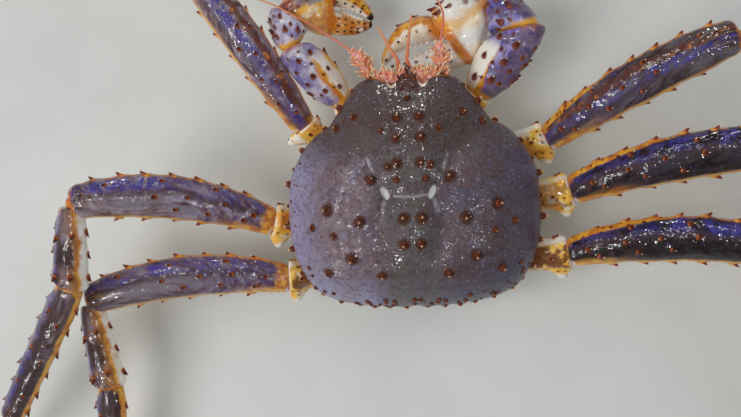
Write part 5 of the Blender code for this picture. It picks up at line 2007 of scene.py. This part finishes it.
@dataclass(frozen=True)
class BackFinish:
    """Slate and plum shell with pale blue specks."""

    speck_gap: float = 3.4
    blue_rim: float = 0.85

    def material(self) -> bpy.types.Material:
        """The material of the back shell."""
        p, c = Paint("back shell", coat=0.6), PALETTE
        clouds = p.noise(30, 4, 0.6, 0.4)
        p.ground(p.ramp(clouds, (0.36, tint(110, 102, 110)), (0.48, tint(104, 84, 86)),
                        (0.62, tint(96, 88, 102))))
        # Paler colours over the left flank: partly the shell's own paler tone, partly painted sheen.
        left = p.ramp(p.noise(16, 5, 0.65, 0.3), (0.38, tint(146, 132, 136)), (0.5, tint(130, 108, 112)),
                      (0.62, tint(136, 126, 146)))
        p.lay(left, p.mark("flank"), 0.9)
        rim = p.span(p.mark("share"), 0.64, 0.96)
        blue = p.both(rim, p.span(p.noise(26, 4), 0.1, 0.56), self.blue_rim)
        # The blue rim is the shell's own colour; on the left flank it is painted lighter as painted sheen.
        p.lay(p.mix(p.mark("flank"), tint(88, 86, 118), tint(160, 156, 194)), blue)
        # Painted shade: the right rear of the back is darkened.
        p.lay(tint(60, 52, 58), p.mark("far_flank"), 0.42)
        p.lay(tint(88, 78, 120), p.span(p.noise(5.5, 4, 0.7), 0.56, 0.7), 0.5)
        p.lay(c.moss, p.mark("middle"), p.span(p.noise(18, 3), 0.3, 0.6), 0.75)
        p.lay(tint(92, 76, 72), p.mark("forward"), p.span(p.noise(13, 4), 0.2, 0.5), 0.9)
        p.lay(tint(88, 62, 56), p.span(p.noise(4.5, 3, 0.7), 0.52, 0.62), 0.4)
        p.lay(tint(58, 42, 42), p.span(p.noise(2.6, 3, 0.7), 0.52, 0.66), 0.55)
        p.lay(tint(128, 118, 128), p.span(p.noise(2.2, 2, 0.7), 0.56, 0.7), 0.4)
        specks = p.span(p.cells(self.speck_gap, 0.9), 0.22, 0.10)
        p.lay(tint(160, 152, 190), specks, p.span(p.noise(11), 0.38, 0.56), 0.7)
        # Painted shade along the neck and heart grooves.
        p.lay(tint(100, 84, 82), p.mark("groove"), 0.35)
        # Pale lavender streaks of the shell's own colour, and two painted glints at the front.
        p.lay(tint(180, 172, 186), p.mark("lavender"), p.span(p.noise(3), 0.3, 0.6))
        p.lay(tint(214, 214, 212), p.mark("bare"))
        p.lay(tint(78, 34, 30), p.mark("beak"), 0.9)
        near = p.mark("near")
        p.lay(tint(66, 38, 30), p.span(near, 0.3, 0.6), 0.85)
        p.lay(tint(90, 40, 26), p.span(near, 0.65, 0.9))
        p.lay(c.amber, p.span(p.mark("border"), 0.98, 1.0), p.span(p.noise(9), 0.48, 0.62), 0.6)
        p.lay(p.marbled(12, c.cream, tint(214, 158, 110), 0.45, 0.6), p.mark("under"))
        p.lay(tint(224, 200, 170), p.span(p.mark("orbit"), 0.35, 0.7))
        p.rise(p.noise(9, 3), 0.35)
        p.rise(p.cells(2.4), 0.16)
        p.rise(p.noise(1.1, 2), 0.14)
        p.rise(specks, 0.12)
        p.film(4.8, 0.86)
        return p.done(p.wet(0.34, 0.2))


class LegPart(Enum):
    """The lengths of a leg that are coloured in their own way."""

    THIGH = "thigh"
    KNEE = "knee"
    SHIN = "shin"

    @staticmethod
    def of(kind: str) -> "LegPart":
        """The part that a segment belongs to."""
        return {"merus": LegPart.THIGH, "carpus": LegPart.KNEE}.get(kind, LegPart.SHIN)


@dataclass(frozen=True)
class LegFinish:
    """Plum and slate shell with a cobalt band, golden edges and a cream underside.

    The band runs between two places across the upper face, where 1 is the leading edge and -1 the
    trailing one.
    """

    name: str
    part: LegPart = LegPart.THIGH
    band: tuple[float, float] = (0.50, 0.92)
    cobalt: float = 0.95
    pale: float = 0.5
    strip: float = 0.90
    strip_end: float = 0.6
    stripe: float = 0.0
    gold: float = 0.85
    specks: float = 0.75
    cuff: float = 0.0
    ground: tuple[Colour, Colour, Colour] = (tint(64, 42, 46), tint(104, 76, 88), tint(120, 110, 126))

    def body(self, p: Paint, wander: bpy.types.NodeSocket) -> None:
        """The plum and slate ground with its cobalt band."""
        c = PALETTE
        p.ground(p.ramp(p.streaks(6.5), *zip((0.38, 0.5, 0.6), self.ground)))
        if self.part is LegPart.SHIN:
            far = p.both(p.span(p.mark("along"), 0.2, 0.6), p.span(p.noise(14, 3), 0.36, 0.52), 0.85)
            p.lay(tint(96, 80, 76), 0.35)
            p.lay(tint(58, 38, 42), far)
        pale = self.pale * (0.4 if self.part is LegPart.SHIN else 1.0)
        grey = p.both(p.span(wander, -0.65, -0.25), p.span(wander, 0.5, 0.15),
                      p.span(p.streaks(12), 0.4, 0.56), pale)
        if self.part is LegPart.THIGH:
            grey = p.both(grey, p.span(p.mark("along"), 0.22, 0.5))
            near_root = p.both(p.span(p.mark("along"), 0.62, 0.4), p.span(p.noise(3.4, 4, 0.7), 0.44, 0.56),
                               self.pale)
            p.lay(tint(98, 82, 150), near_root, 0.6)
            brown = p.both(p.span(p.mark("along"), 0.45, 0.15), p.span(p.noise(8, 3), 0.46, 0.6), 0.6)
            p.lay(tint(92, 58, 52), brown)
        p.lay(c.ash, grey)
        low, high = (0.38, 1.0) if self.part is LegPart.SHIN and self.band[0] > 0.3 else self.band
        p.lay(c.plum, p.span(wander, low - 0.45, low - 0.2), p.span(wander, low + 0.1, low - 0.1), 0.6)
        mottle = p.span(p.noise(3.0, 4, 0.7), 0.38, 0.52)
        band = p.both(p.span(wander, low - 0.2, low + 0.1), p.span(wander, high + 0.12, high - 0.06),
                      mottle, p.span(p.streaks(11), 0.38, 0.52),
                      p.maths("ADD",
                              p.maths("MULTIPLY", p.span(p.mark("along"), 0.3, 0.7), self.cobalt * 0.45),
                              self.cobalt * 0.55))
        p.lay(p.mix(p.span(p.streaks(5), 0.4, 0.6), c.violet, c.cobalt), band)
        specks = p.both(p.span(p.cells(2.6), 0.32, 0.16), p.span(p.noise(9, 3), 0.42, 0.6), self.specks)
        p.lay(tint(104, 90, 164), specks)

    def edges(self, p: Paint) -> None:
        """The golden strip with rust spots along the leading edge and the gold line of the trailing one."""
        c = PALETTE
        lead, along = p.mark("lead"), p.mark("along")
        spots = p.span(p.cells(4.2), 0.42, 0.28)
        golden = p.mix(spots, p.marbled(7, c.gold, c.amber), c.rust)
        wander = p.stray(lead, p.streaks(8), 0.9)
        warm = p.marbled(8, c.gold, c.amber)
        if self.part is LegPart.THIGH:
            limit = p.maths("ADD", p.maths("MULTIPLY", along, (1 - self.strip) / self.strip_end), self.strip)
            p.lay(golden, p.span(p.maths("SUBTRACT", lead, limit), -0.03, 0.05))
            base = p.both(p.span(wander, -0.35, -0.85), p.span(p.mark("from_start"), 46, 14), 0.9)
            p.lay(warm, base)
            cuff = p.pushed(p.mark("from_start"), p.noise(7, 3), 10.0)
            p.lay(p.mix(p.span(p.noise(4, 3), 0.42, 0.56), tint(250, 186, 70), tint(206, 116, 40)),
                  p.span(cuff, 17, 11), self.cuff)
        if self.part is LegPart.KNEE:
            p.lay(tint(128, 88, 64), p.span(wander, 0.5, 0.1), p.span(p.noise(11), 0.42, 0.56), 0.7)
            soft = p.stray(lead, p.noise(10, 3), 0.7)
            p.lay(tint(176, 116, 58), p.span(wander, -0.15, -0.45), 0.8)
            p.lay(warm, p.span(soft, -0.58, -0.78), 0.9)
            p.lay(tint(254, 250, 240), p.span(soft, -0.74, -1.0))
            patch = p.both(p.span(along, 0.30, 0.48), p.span(along, 0.80, 0.64), p.span(wander, -0.62, -0.36),
                           p.span(lead, 0.8, 0.5), 0.85)
            p.lay(c.umber, patch)
        if self.part is LegPart.SHIN:
            p.lay(tint(66, 46, 46), p.span(wander, 0.6, 0.2), p.span(p.streaks(12), 0.36, 0.5), 0.85)
            close = p.stray(lead, p.noise(14), 0.4)
            p.lay(warm, p.span(close, -0.8, -0.94), 0.95)
        p.lay(c.amber, p.span(lead, 0.955, 0.99), p.span(p.noise(9), 0.35, 0.6), 0.9)
        if self.part is not LegPart.KNEE:
            p.lay(p.marbled(8, c.gold, c.amber, 0.46, 0.66), p.span(lead, -0.8, -0.92), self.gold)

    def ends(self, p: Paint) -> None:
        """The golden roots and the golden streaks at the far ends."""
        c = PALETTE
        sides = p.span(p.maths("ABSOLUTE", p.mark("lead")), 0.45, 0.85)
        start = p.pushed(p.mark("from_start"), p.noise(6), 6.0)
        p.lay(p.marbled(5, c.gold, c.amber, 0.45, 0.6), p.span(start, 8.5, 4), sides)
        if self.part is LegPart.THIGH:
            trail = p.span(p.mark("lead"), -0.3, -0.7)
            p.lay(tint(222, 206, 216), p.span(p.mark("from_start"), 3.4, 1.6), trail)
        upper = p.span(p.mark("lead"), -0.45, -0.2)
        veins = p.both(p.span(p.mark("from_end"), 20, 8), p.span(p.streaks(2.2, 5), 0.52, 0.60), upper)
        p.lay(tint(196, 142, 84), veins, 0.65)
        dark = p.both(p.span(p.mark("from_end"), 16, 6), p.span(p.streaks(3.5, 3), 0.54, 0.46), upper, 0.7)
        p.lay(c.umber, dark)
        end = p.pushed(p.mark("from_end"), p.noise(4, 4), 7.0)
        p.lay(p.marbled(4, c.amber, c.rust, 0.42, 0.6), p.span(end, 7, 3.5), 0.85)

    def material(self) -> bpy.types.Material:
        """The material of the leg's outer segments."""
        p, c = Paint(f"{self.part.value} shell of {self.name}", coat=0.9), PALETTE
        lead, top = p.mark("lead"), p.mark("top")
        wander = p.stray(lead, p.noise(24, 3), 0.5)
        self.body(p, wander)
        if self.stripe:
            stripe = p.both(p.span(wander, 0.38, 0.52), p.span(wander, 0.84, 0.70), self.stripe)
            rust = p.mix(p.span(p.cells(5.0), 0.45, 0.3), tint(104, 62, 44), c.rust)
            p.lay(p.marbled(7, rust, c.amber, 0.54, 0.68), stripe)
        self.edges(p)
        self.ends(p)
        deep = -0.25 if self.part is LegPart.KNEE else 0.0
        under = p.span(p.pushed(top, p.noise(15), 0.3), 0.1 + deep, -0.25 + deep)
        p.lay(p.ramp(p.noise(16, 3), (0.4, c.cream), (0.56, tint(222, 176, 116)), (0.7, c.amber)), under)
        near = p.mark("near")
        edge = p.span(p.maths("ABSOLUTE", lead), 0.75, 0.95)
        p.lay(p.mix(edge, tint(90, 52, 34), c.amber), p.span(near, 0.4, 0.7), 0.7)
        p.lay(p.mix(edge, c.rust, tint(220, 140, 50)), p.span(near, 0.7, 0.92))
        p.rise(p.noise(7, 3), 0.4)
        p.rise(p.cells(2.8), 0.2)
        p.rise(p.noise(1.2, 2), 0.14)
        p.film(3.2, 0.42)
        return p.done(p.wet(0.3, 0.28))


@dataclass(frozen=True)
class JointFinish:
    """Golden shell with cream edges, for the short segments at the root of a limb."""

    brown: float = 0.15

    def material(self) -> bpy.types.Material:
        """The material of coxa and ischium."""
        p, c = Paint(f"golden root shell {self.brown}", coat=0.7), PALETTE
        top = p.mark("top")
        p.ground(p.ramp(p.noise(11, 4), (0.34, c.bone), (0.42, tint(255, 208, 92)),
                        (0.58, tint(246, 172, 60)), (0.68, tint(206, 116, 40))))
        dots = p.both(p.span(p.cells(4.5), 0.34, 0.2), p.span(top, 0.1, 0.4), 0.8)
        p.lay(tint(132, 66, 30), dots)
        brown = p.both(p.span(top, 0.45, 0.8), p.span(p.noise(12, 3), 0.40, 0.50))
        p.lay(p.mix(p.noise(5), tint(92, 46, 26), tint(140, 78, 34)), brown, self.brown)
        p.lay(c.bone, p.span(p.mark("flange"), 0.25, 0.7))
        ends = p.maths("MINIMUM", p.mark("from_start"), p.mark("from_end"))
        p.lay(c.bone, p.span(ends, 1.6, 0.6), p.span(p.noise(8), 0.42, 0.58))
        white = p.both(p.span(p.mark("lead"), 0.66, 0.92), p.span(p.noise(13), 0.38, 0.55))
        p.lay(c.bone, white)
        p.lay(c.cream, p.span(top, 0.0, -0.5), 0.8)
        near = p.mark("near")
        p.lay(c.amber, p.span(near, 0.45, 0.8))
        p.rise(p.noise(6, 3), 0.6)
        p.rise(p.cells(3.0), 0.25)
        p.rise(p.noise(1.2, 2), 0.14)
        p.film(5.0, 0.9)
        return p.done(p.wet(0.22, 0.24))


class ClawPart(Enum):
    """The parts of a claw leg that are coloured in their own way."""

    ARM = "arm"
    ELBOW = "elbow"
    PALM = "palm"
    FINGER = "finger"

    @staticmethod
    def of(kind: str) -> "ClawPart":
        """The part that a segment belongs to."""
        known = {"merus": ClawPart.ARM, "carpus": ClawPart.ELBOW, "palm": ClawPart.PALM}
        return known.get(kind, ClawPart.FINGER)


@dataclass(frozen=True)
class ClawFinish:
    """Violet-blue shell that turns cream inside, with orange fingers."""

    name: str
    part: ClawPart = ClawPart.ARM
    blue: float = 0.8
    warm: float = 0.3
    warm_finger: float = 0.3
    black_tip: float = 0.0
    pale_end: float = 0.6
    frost: bool = False
    frosted: tuple[Colour, Colour, Colour] = (tint(228, 222, 236), tint(164, 154, 204), tint(112, 104, 176))
    plain: tuple[Colour, Colour, Colour] = (tint(166, 160, 214), tint(104, 98, 184), tint(70, 64, 156))

    def arm(self, p: Paint) -> None:
        """Colour of merus and carpus."""
        c = PALETTE
        lead, top, along = p.mark("lead"), p.mark("top"), p.mark("along")
        wander = p.stray(lead, p.streaks(8, 2.2), 1.1)
        pale, mid, deep = self.frosted if self.frost else self.plain
        p.ground(p.ramp(p.noise(14, 4, 0.6, 0.4), (0.42, pale), (0.55, mid), (0.68, deep)))
        brown = p.maths("MAXIMUM", p.span(wander, 0.0 if self.frost else 0.12, -0.3),
                        p.span(p.noise(9, 4), 0.5, 0.6))
        p.lay(p.marbled(5, tint(118, 86, 76), tint(78, 60, 72)), brown, 0.28 if self.frost else 0.7)
        if self.part is ClawPart.ARM:
            start = (-0.1, 0.14) if self.frost else (0.05, 0.3)
            rooted = p.maths("ADD", wander, p.maths("MULTIPLY", p.maths("SUBTRACT", 0.6, along), 0.6))
            pale = p.ramp(wander, (0.04, c.amber), (0.16, c.gold), (0.3, c.bone), (0.86, c.bone),
                          (1.0, c.gold))
            p.lay(pale, p.span(rooted, *start), p.span(along, self.pale_end + 0.3, self.pale_end))
        p.lay(c.cream, p.span(top, -0.1, -0.5), 0.85)
        start = p.pushed(p.mark("from_start"), p.noise(6), 6.0)
        p.lay(c.gold, p.span(start, 9, 4))
        end = p.pushed(p.mark("from_end"), p.noise(4, 4), 8.0)
        p.lay(p.mix(p.noise(5), c.amber, c.rust), p.span(end, 9, 4), 0.8)

    def palm(self, p: Paint) -> None:
        """Colour of the palm and its fixed finger."""
        c = PALETTE
        lead, along = p.mark("lead"), p.mark("along")
        p.ground(p.ramp(p.noise(16, 3), (0.46, tint(255, 252, 244)), (0.6, tint(250, 240, 214)),
                        (0.74, tint(242, 208, 150))))
        golden = p.both(p.span(p.noise(11, 3), 0.62 - self.warm * 0.3, 0.72 - self.warm * 0.3), self.warm)
        p.lay(p.marbled(6, c.gold, c.amber), golden)
        wander = p.stray(lead, p.noise(12, 3), 0.7)
        over = p.both(p.span(wander, 0.30, 0.5), p.span(along, 0.98, 0.8))
        p.lay(c.gold, p.span(wander, 0.05, 0.3), p.span(wander, 0.75, 0.45), p.span(along, 1.0, 0.85), 0.7)
        p.lay(p.mix(p.span(p.noise(8, 4), 0.4, 0.6), tint(128, 120, 172), tint(112, 102, 118)), over,
              self.blue)
        hinge = p.both(p.span(along, 0.74, 0.84), p.span(along, 1.04, 0.96), p.span(p.noise(14), 0.26, 0.42))
        p.lay(p.marbled(6, c.gold, tint(228, 128, 30), 0.36, 0.52), hinge, 0.95)
        p.lay(p.marbled(5, c.amber, c.rust), p.span(along, 0.22, 0.05), 0.8)
        finger = p.mark("finger")
        p.lay(c.amber, p.span(finger, 0.12, 0.4),
              p.span(p.noise(7), 0.6 - self.warm * 0.2, 0.7 - self.warm * 0.2), self.warm)
        p.lay(c.ink, p.span(finger, 0.9, 0.95), self.black_tip)

    def finger(self, p: Paint) -> None:
        """Colour of the movable finger."""
        c = PALETTE
        lead, along = p.mark("lead"), p.mark("along")
        p.ground(p.ramp(p.noise(9, 3), (0.4, c.bone), (0.6, c.cream)))
        wander = p.stray(lead, p.noise(7, 3), 0.8)
        back = p.span(wander, 0.55 - self.warm_finger, 0.85 - self.warm_finger)
        p.lay(p.marbled(6, c.gold, c.amber), back)
        p.lay(c.amber, p.span(along, 0.22, 0.06))
        p.lay(c.rust, p.span(wander, 0.75, 1.0), p.span(p.noise(5), 0.45, 0.6), 0.7)
        p.lay(c.ink, p.span(along, 0.9, 0.95), self.black_tip)

    def material(self) -> bpy.types.Material:
        """The material of the part."""
        p, c = Paint(f"{self.part.value} of {self.name}", coat=0.8), PALETTE
        {ClawPart.PALM: self.palm, ClawPart.FINGER: self.finger}.get(self.part, self.arm)(p)
        near = p.mark("near")
        p.lay(tint(132, 74, 36), p.span(near, 0.35, 0.7), 0.75)
        p.lay(c.rust, p.span(near, 0.7, 0.92))
        p.rise(p.noise(6, 3), 0.5)
        p.rise(p.cells(2.6), 0.2)
        p.rise(p.noise(1.2, 2), 0.14)
        p.film(4.6, 0.8)
        return p.done(p.wet(0.22, 0.24))


@dataclass(frozen=True)
class GrowthFinish:
    """A spine that changes colour from root to tip."""

    name: str
    stops: tuple[tuple[float, int, int, int], ...]
    label: str = "height"
    roughness: float = 0.28

    def material(self) -> bpy.types.Material:
        """The material of the growth."""
        p = Paint(self.name, self.roughness, 0.3)
        place = p.stray(p.mark(self.label), p.noise(3), 0.25)
        p.rise(p.noise(1.0, 2), 0.1)
        p.film(2.0, 0.2)
        p.ground(p.ramp(place, *((share, tint(*screen)) for share, *screen in self.stops)))
        return p.done()


@dataclass(frozen=True)
class PaleFinish:
    """Cream underside shell or soft joint skin."""

    name: str
    first: Colour
    second: Colour
    third: Colour
    roughness: float = 0.38

    def material(self) -> bpy.types.Material:
        """The material."""
        p = Paint(self.name, self.roughness, 0.25)
        p.rise(p.noise(5, 3), 0.5)
        p.rise(p.noise(1.1, 2), 0.12)
        p.ground(p.ramp(p.noise(13, 4, 0.6), (0.36, self.first), (0.52, self.second), (0.68, self.third)))
        return p.done()


@dataclass(frozen=True)
class TailFinish:
    """Cream plates that take the back's plum and slate where they show behind it."""

    gap: float = 4.0

    def material(self) -> bpy.types.Material:
        """The material of the tail flap."""
        p, c = Paint("tail shell", coat=0.5), PALETTE
        dark = p.ramp(p.noise(9, 4), (0.38, tint(66, 48, 52)), (0.5, tint(104, 82, 90)),
                      (0.62, tint(118, 110, 142)))
        dark = p.mix(p.both(p.span(p.cells(self.gap), 0.30, 0.16), 0.7), dark, c.rust)
        dark = p.mix(p.both(p.mark("seam"), 0.7), dark, c.gold)
        edge = p.stray(p.mark("rear"), p.noise(7), 0.5)
        p.ground(p.ramp(p.noise(13, 4, 0.6), (0.36, c.bone), (0.52, c.cream), (0.68, tint(226, 172, 120))))
        p.lay(c.amber, p.span(edge, 0.15, 0.45))
        p.lay(dark, p.span(edge, 0.4, 0.7))
        p.rise(p.noise(6, 3), 0.5)
        p.rise(p.cells(2.6), 0.2)
        p.film(4.4, 0.75)
        return p.done(p.wet(0.32, 0.2))


# Lit and shaded copies of one plum and slate ground: the left legs are lighter as painted sheen, the right
# legs darker as painted shade, and grey and brown lie between.
SHADED_GROUND = (tint(26, 17, 17), tint(42, 30, 31), tint(46, 41, 44))
BROWN_GROUND = (tint(52, 36, 36), tint(84, 66, 66), tint(104, 98, 102))
GREY_GROUND = (tint(70, 46, 46), tint(116, 90, 96), tint(136, 126, 134))
SHEEN_LIT_GROUND = (tint(80, 52, 52), tint(144, 114, 116), tint(164, 154, 162))
LEG_FINISHES = {finish.name: finish for finish in (
    LegFinish("leg2_left", band=(-0.2, 0.3), pale=0.5, strip=0.93, stripe=0.8, ground=SHEEN_LIT_GROUND),
    LegFinish("leg3_left", pale=0.8, strip=0.93, cuff=0.95, ground=SHEEN_LIT_GROUND),
    LegFinish("leg4_left", pale=0.7, strip=0.93, cuff=0.8, ground=GREY_GROUND),
    LegFinish("leg2_right", band=(-0.05, 0.35), pale=0.35, strip=0.70, strip_end=0.45, stripe=0.6,
              ground=BROWN_GROUND),
    LegFinish("leg3_right", pale=0.1, strip=0.76, specks=0.4, ground=SHADED_GROUND),
    LegFinish("leg4_right", pale=0.0, strip=0.74, specks=0.4, ground=SHADED_GROUND),
)}
CLAW_FINISHES = {finish.name: finish for finish in (
    ClawFinish("claw_left", blue=0.8, warm=0.9, warm_finger=0.9, black_tip=1.0, frost=True),
    ClawFinish("claw_right", blue=0.12, warm=0.25, warm_finger=0.3),
)}
# How brown the golden shell at the root of each limb is.
ROOT_BROWN = {"leg4_left": 0.9, "leg4_right": 0.95, "leg3_right": 0.6, "leg3_left": 0.05}
PLAIN_ROOT_BROWN = 0.25


class Finishes:
    """Every material of the crab, each made once."""

    def __init__(self) -> None:
        """Makes the materials that are shared by the whole animal."""
        c = PALETTE
        self.back = BackFinish().material()
        self.tail = TailFinish().material()
        self.pale = PaleFinish("pale under shell", c.bone, c.cream, tint(226, 172, 120)).material()
        self.membrane = PaleFinish(
            "joint skin", tint(236, 176, 84), tint(214, 122, 58), tint(132, 62, 36), 0.45).material()
        # The pale last stop of the leg and edge spines is partly their own pale tip and partly a painted
        # highlight.
        self.spine = GrowthFinish("leg spines", (
            (0.12, 176, 94, 40), (0.24, 128, 54, 28), (0.40, 98, 36, 22), (0.74, 90, 32, 22),
            (0.93, 248, 226, 192))).material()
        self.edge_spine = GrowthFinish("edge spines", (
            (0.12, 236, 170, 70), (0.34, 214, 122, 50), (0.52, 132, 58, 30), (0.78, 116, 50, 32),
            (0.93, 252, 234, 204))).material()
        self.claw_spine = GrowthFinish("claw spines", (
            (0.12, 140, 82, 66), (0.28, 116, 50, 32), (0.5, 92, 34, 24), (0.78, 84, 30, 22),
            (0.94, 238, 206, 170))).material()
        self.rim_spine = GrowthFinish("rim spines", (
            (0.10, 190, 116, 46), (0.24, 176, 98, 40), (0.42, 110, 42, 24), (0.74, 92, 34, 22),
            (0.94, 226, 180, 120))).material()
        # The pale top of the back spines is a painted highlight.
        self.back_spine = GrowthFinish("back spines", (
            (0.10, 60, 28, 20), (0.38, 84, 36, 20), (0.50, 150, 80, 38), (0.58, 88, 38, 24),
            (0.88, 96, 46, 32), (1.0, 196, 156, 124))).material()
        self.granule = GrowthFinish("granules", (
            (0.2, 62, 32, 24), (0.6, 92, 42, 24), (0.95, 128, 68, 42))).material()
        self.thorn = GrowthFinish("face spines", (
            (0.1, 246, 196, 190), (0.4, 236, 146, 134), (0.72, 244, 176, 118),
            (0.95, 255, 240, 212))).material()
        self.feeler = GrowthFinish("feelers", (
            (0.0, 236, 150, 138), (0.5, 224, 124, 86), (1.0, 234, 164, 112)), label="along").material()
        self.mouth = PaleFinish("mouth limbs", c.cream, tint(226, 160, 110), c.coral).material()
        self.tooth = PaleFinish("teeth", c.bone, c.bone, c.cream, 0.25).material()
        self.bristle = GrowthFinish("bristles", ((0.2, 22, 16, 16), (0.9, 70, 44, 30))).material()
        self.eye = self.eye_material()
        self.made: dict[str, bpy.types.Material] = {}

    def eye_material(self) -> bpy.types.Material:
        """A stalk that ends in a black glossy eye."""
        p, c = Paint("eye", 0.1, 0.8), PALETTE
        along = p.mark("along")
        p.ground(p.ramp(p.pushed(along, p.noise(3), 0.06), (0.3, c.rust), (0.46, c.amber), (0.6, c.ink)))
        return p.done(p.ramp(along, (0.5, (0.4, 0.4, 0.4)), (0.62, (0.05, 0.05, 0.05))))

    def kept(self, finish: LegFinish | ClawFinish | JointFinish) -> bpy.types.Material:
        """The material of a finish, made the first time it is asked for."""
        key = repr(finish)
        if key not in self.made:
            self.made[key] = finish.material()
        return self.made[key]

    def root(self, name: str) -> bpy.types.Material:
        """The material of a limb's two root segments."""
        return self.kept(JointFinish(ROOT_BROWN.get(name, PLAIN_ROOT_BROWN)))

    def leg(self, name: str, part: LegPart) -> bpy.types.Material:
        """The material of a part of a walking leg."""
        return self.kept(replace(LEG_FINISHES[name], part=part))

    def claw(self, name: str, part: ClawPart) -> bpy.types.Material:
        """The material of a part of a claw."""
        return self.kept(replace(CLAW_FINISHES[name], part=part))



# Stage


@dataclass(frozen=True)
class Studio:
    """The floor, the lights and the camera, which looks almost straight down."""

    focal_px: float = 667
    width_px: float = 741
    film: float = 36.0
    place: Point = (11.23, -2.99, 525.0)
    lean: float = 5.0
    turn: float = 2.5
    floor_flat: float = 3200
    floor_bend: float = 2000
    floor_sides: int = 96
    lamps = (
        (700, 30, 1850, 1.2), (-370, 60, 1850, 1.0), (-1150, 420, 1850, 1.7), (-560, 620, 1850, 1.1),
        (287, -524, 1850, 1.6), (-900, -1100, 1700, 3.1), (850, -1050, 1700, 2.4),
        (120, 1250, 1700, 1.5), (-80, 2100, 1200, 4.2), (-1237, -820, 1850, 3.1), (-1590, -1930, 1120, 4.2),
        (-700, 800, 1800, 1.4),
    )
    lamp_side: float = 88

    def floor(self) -> None:
        """A plain pale floor that bends up far away, so that no edge shows."""
        n = self.floor_sides
        turn = np.linspace(0, 2 * math.pi, n, endpoint=False)
        rise = np.linspace(0, math.pi / 2, 16)
        bend = self.floor_flat + self.floor_bend * np.sin(rise)
        reach = np.concatenate([[300, self.floor_flat * 0.5], bend])
        height = np.concatenate([[0, 0], self.floor_bend * (1 - np.cos(rise))])
        points = [(0, 0, 0)]
        points += [(r * math.cos(a), r * math.sin(a), z) for r, z in zip(reach, height) for a in turn]
        faces = [(0, 1 + k, 1 + (k + 1) % n) for k in range(n)]
        for row in range(len(reach) - 1):
            low = 1 + row * n
            faces += [(low + k, low + n + k, low + n + (k + 1) % n, low + (k + 1) % n) for k in range(n)]
        made = mesh_object("floor", vec(points), faces)
        if made.data.polygons[0].normal.z < 0:
            made.data.flip_normals()
        p = Paint("pale floor", 0.55, 0.0)
        p.ground(p.ramp(p.noise(120, 4), (0.3, tint(217, 218, 214)), (0.7, tint(226, 227, 223))))
        made.data.materials.append(p.done())

    def light(self, name: str, place: Point, size: tuple[float, float], power: float) -> bpy.types.Object:
        """A soft rectangular lamp that faces the crab.

        Args:
            name: the lamp's name.
            place: where it hangs, in millimetres.
            size: its sides, in millimetres.
            power: in watts.

        Returns:
            The lamp.
        """
        lamp = bpy.data.lights.new(name, "AREA")
        lamp.shape = "RECTANGLE"
        lamp.size, lamp.size_y = size[0] * MM, size[1] * MM
        lamp.energy = power
        made = linked(name, lamp)
        made.location = Vector(place) * MM
        made.rotation_euler = (-made.location).to_track_quat("-Z", "Y").to_euler()
        return made

    def lights(self) -> None:
        """A broad soft key and fill, small ceiling lamps for the wet glints, and a pale sky."""
        self.light("key", (-1350, -420, 1650), (1400, 1400), 26).visible_glossy = False
        self.light("fill", (1150, 1250, 1500), (1500, 1500), 9).visible_glossy = False
        for k, (x, y, z, power) in enumerate(self.lamps):
            lamp = self.light(f"lamp {k + 1}", (x, y, z), (self.lamp_side, self.lamp_side), power)
            lamp.visible_diffuse = False
        world = bpy.data.worlds.new("sky")
        world.use_nodes = True
        world.node_tree.nodes["Background"].inputs["Color"].default_value = (0.86, 0.90, 0.95, 1)
        world.node_tree.nodes["Background"].inputs["Strength"].default_value = 0.34
        world.cycles_visibility.glossy = False
        bpy.context.scene.world = world
        bpy.context.scene.view_settings.view_transform = "Standard"

    def camera(self) -> None:
        """A camera over the crab at the photograph's angle."""
        lean, turn = math.radians(self.lean), math.radians(self.turn)
        right = Vector((math.cos(lean), 0, -math.sin(lean)))
        up = Vector((0, 1, 0))
        back = Vector((math.sin(lean), 0, math.cos(lean)))
        around = Matrix.Rotation(-turn, 3, "Z")
        axes = Matrix((around @ right, around @ up, around @ back)).transposed()
        lens = bpy.data.cameras.new("camera")
        lens.sensor_width = self.film
        lens.lens = self.film * self.focal_px / self.width_px
        lens.clip_start = 0.01
        made = linked("camera", lens)
        made.matrix_world = Matrix.Translation(Vector(self.place) * MM) @ axes.to_4x4()
        bpy.context.scene.camera = made


@dataclass
class Crab:
    """The whole animal."""

    finishes: Finishes = field(default_factory=Finishes)

    def build(self) -> None:
        """Makes every piece, with the spines drawn in the solids' order."""
        dice = random.Random(SPINE_SEED)
        BackShell().build(dice, self.finishes)
        Underside().build(self.finishes)
        plan: dict[str, Segment] = {}
        for limb in (*LEGS, *CLAWS):
            plan.update(limb.plan())
        for limb in (*LEGS, *CLAWS):
            limb.build(plan, dice, self.finishes)
        for side in Side:
            Face(side).build(self.finishes)


def main() -> None:
    """Builds the stage and the crab."""
    logging.basicConfig(level=logging.INFO, format="%(message)s")
    studio = Studio()
    studio.floor()
    studio.lights()
    studio.camera()
    Crab().build()


if __name__ == "__main__":
    main()
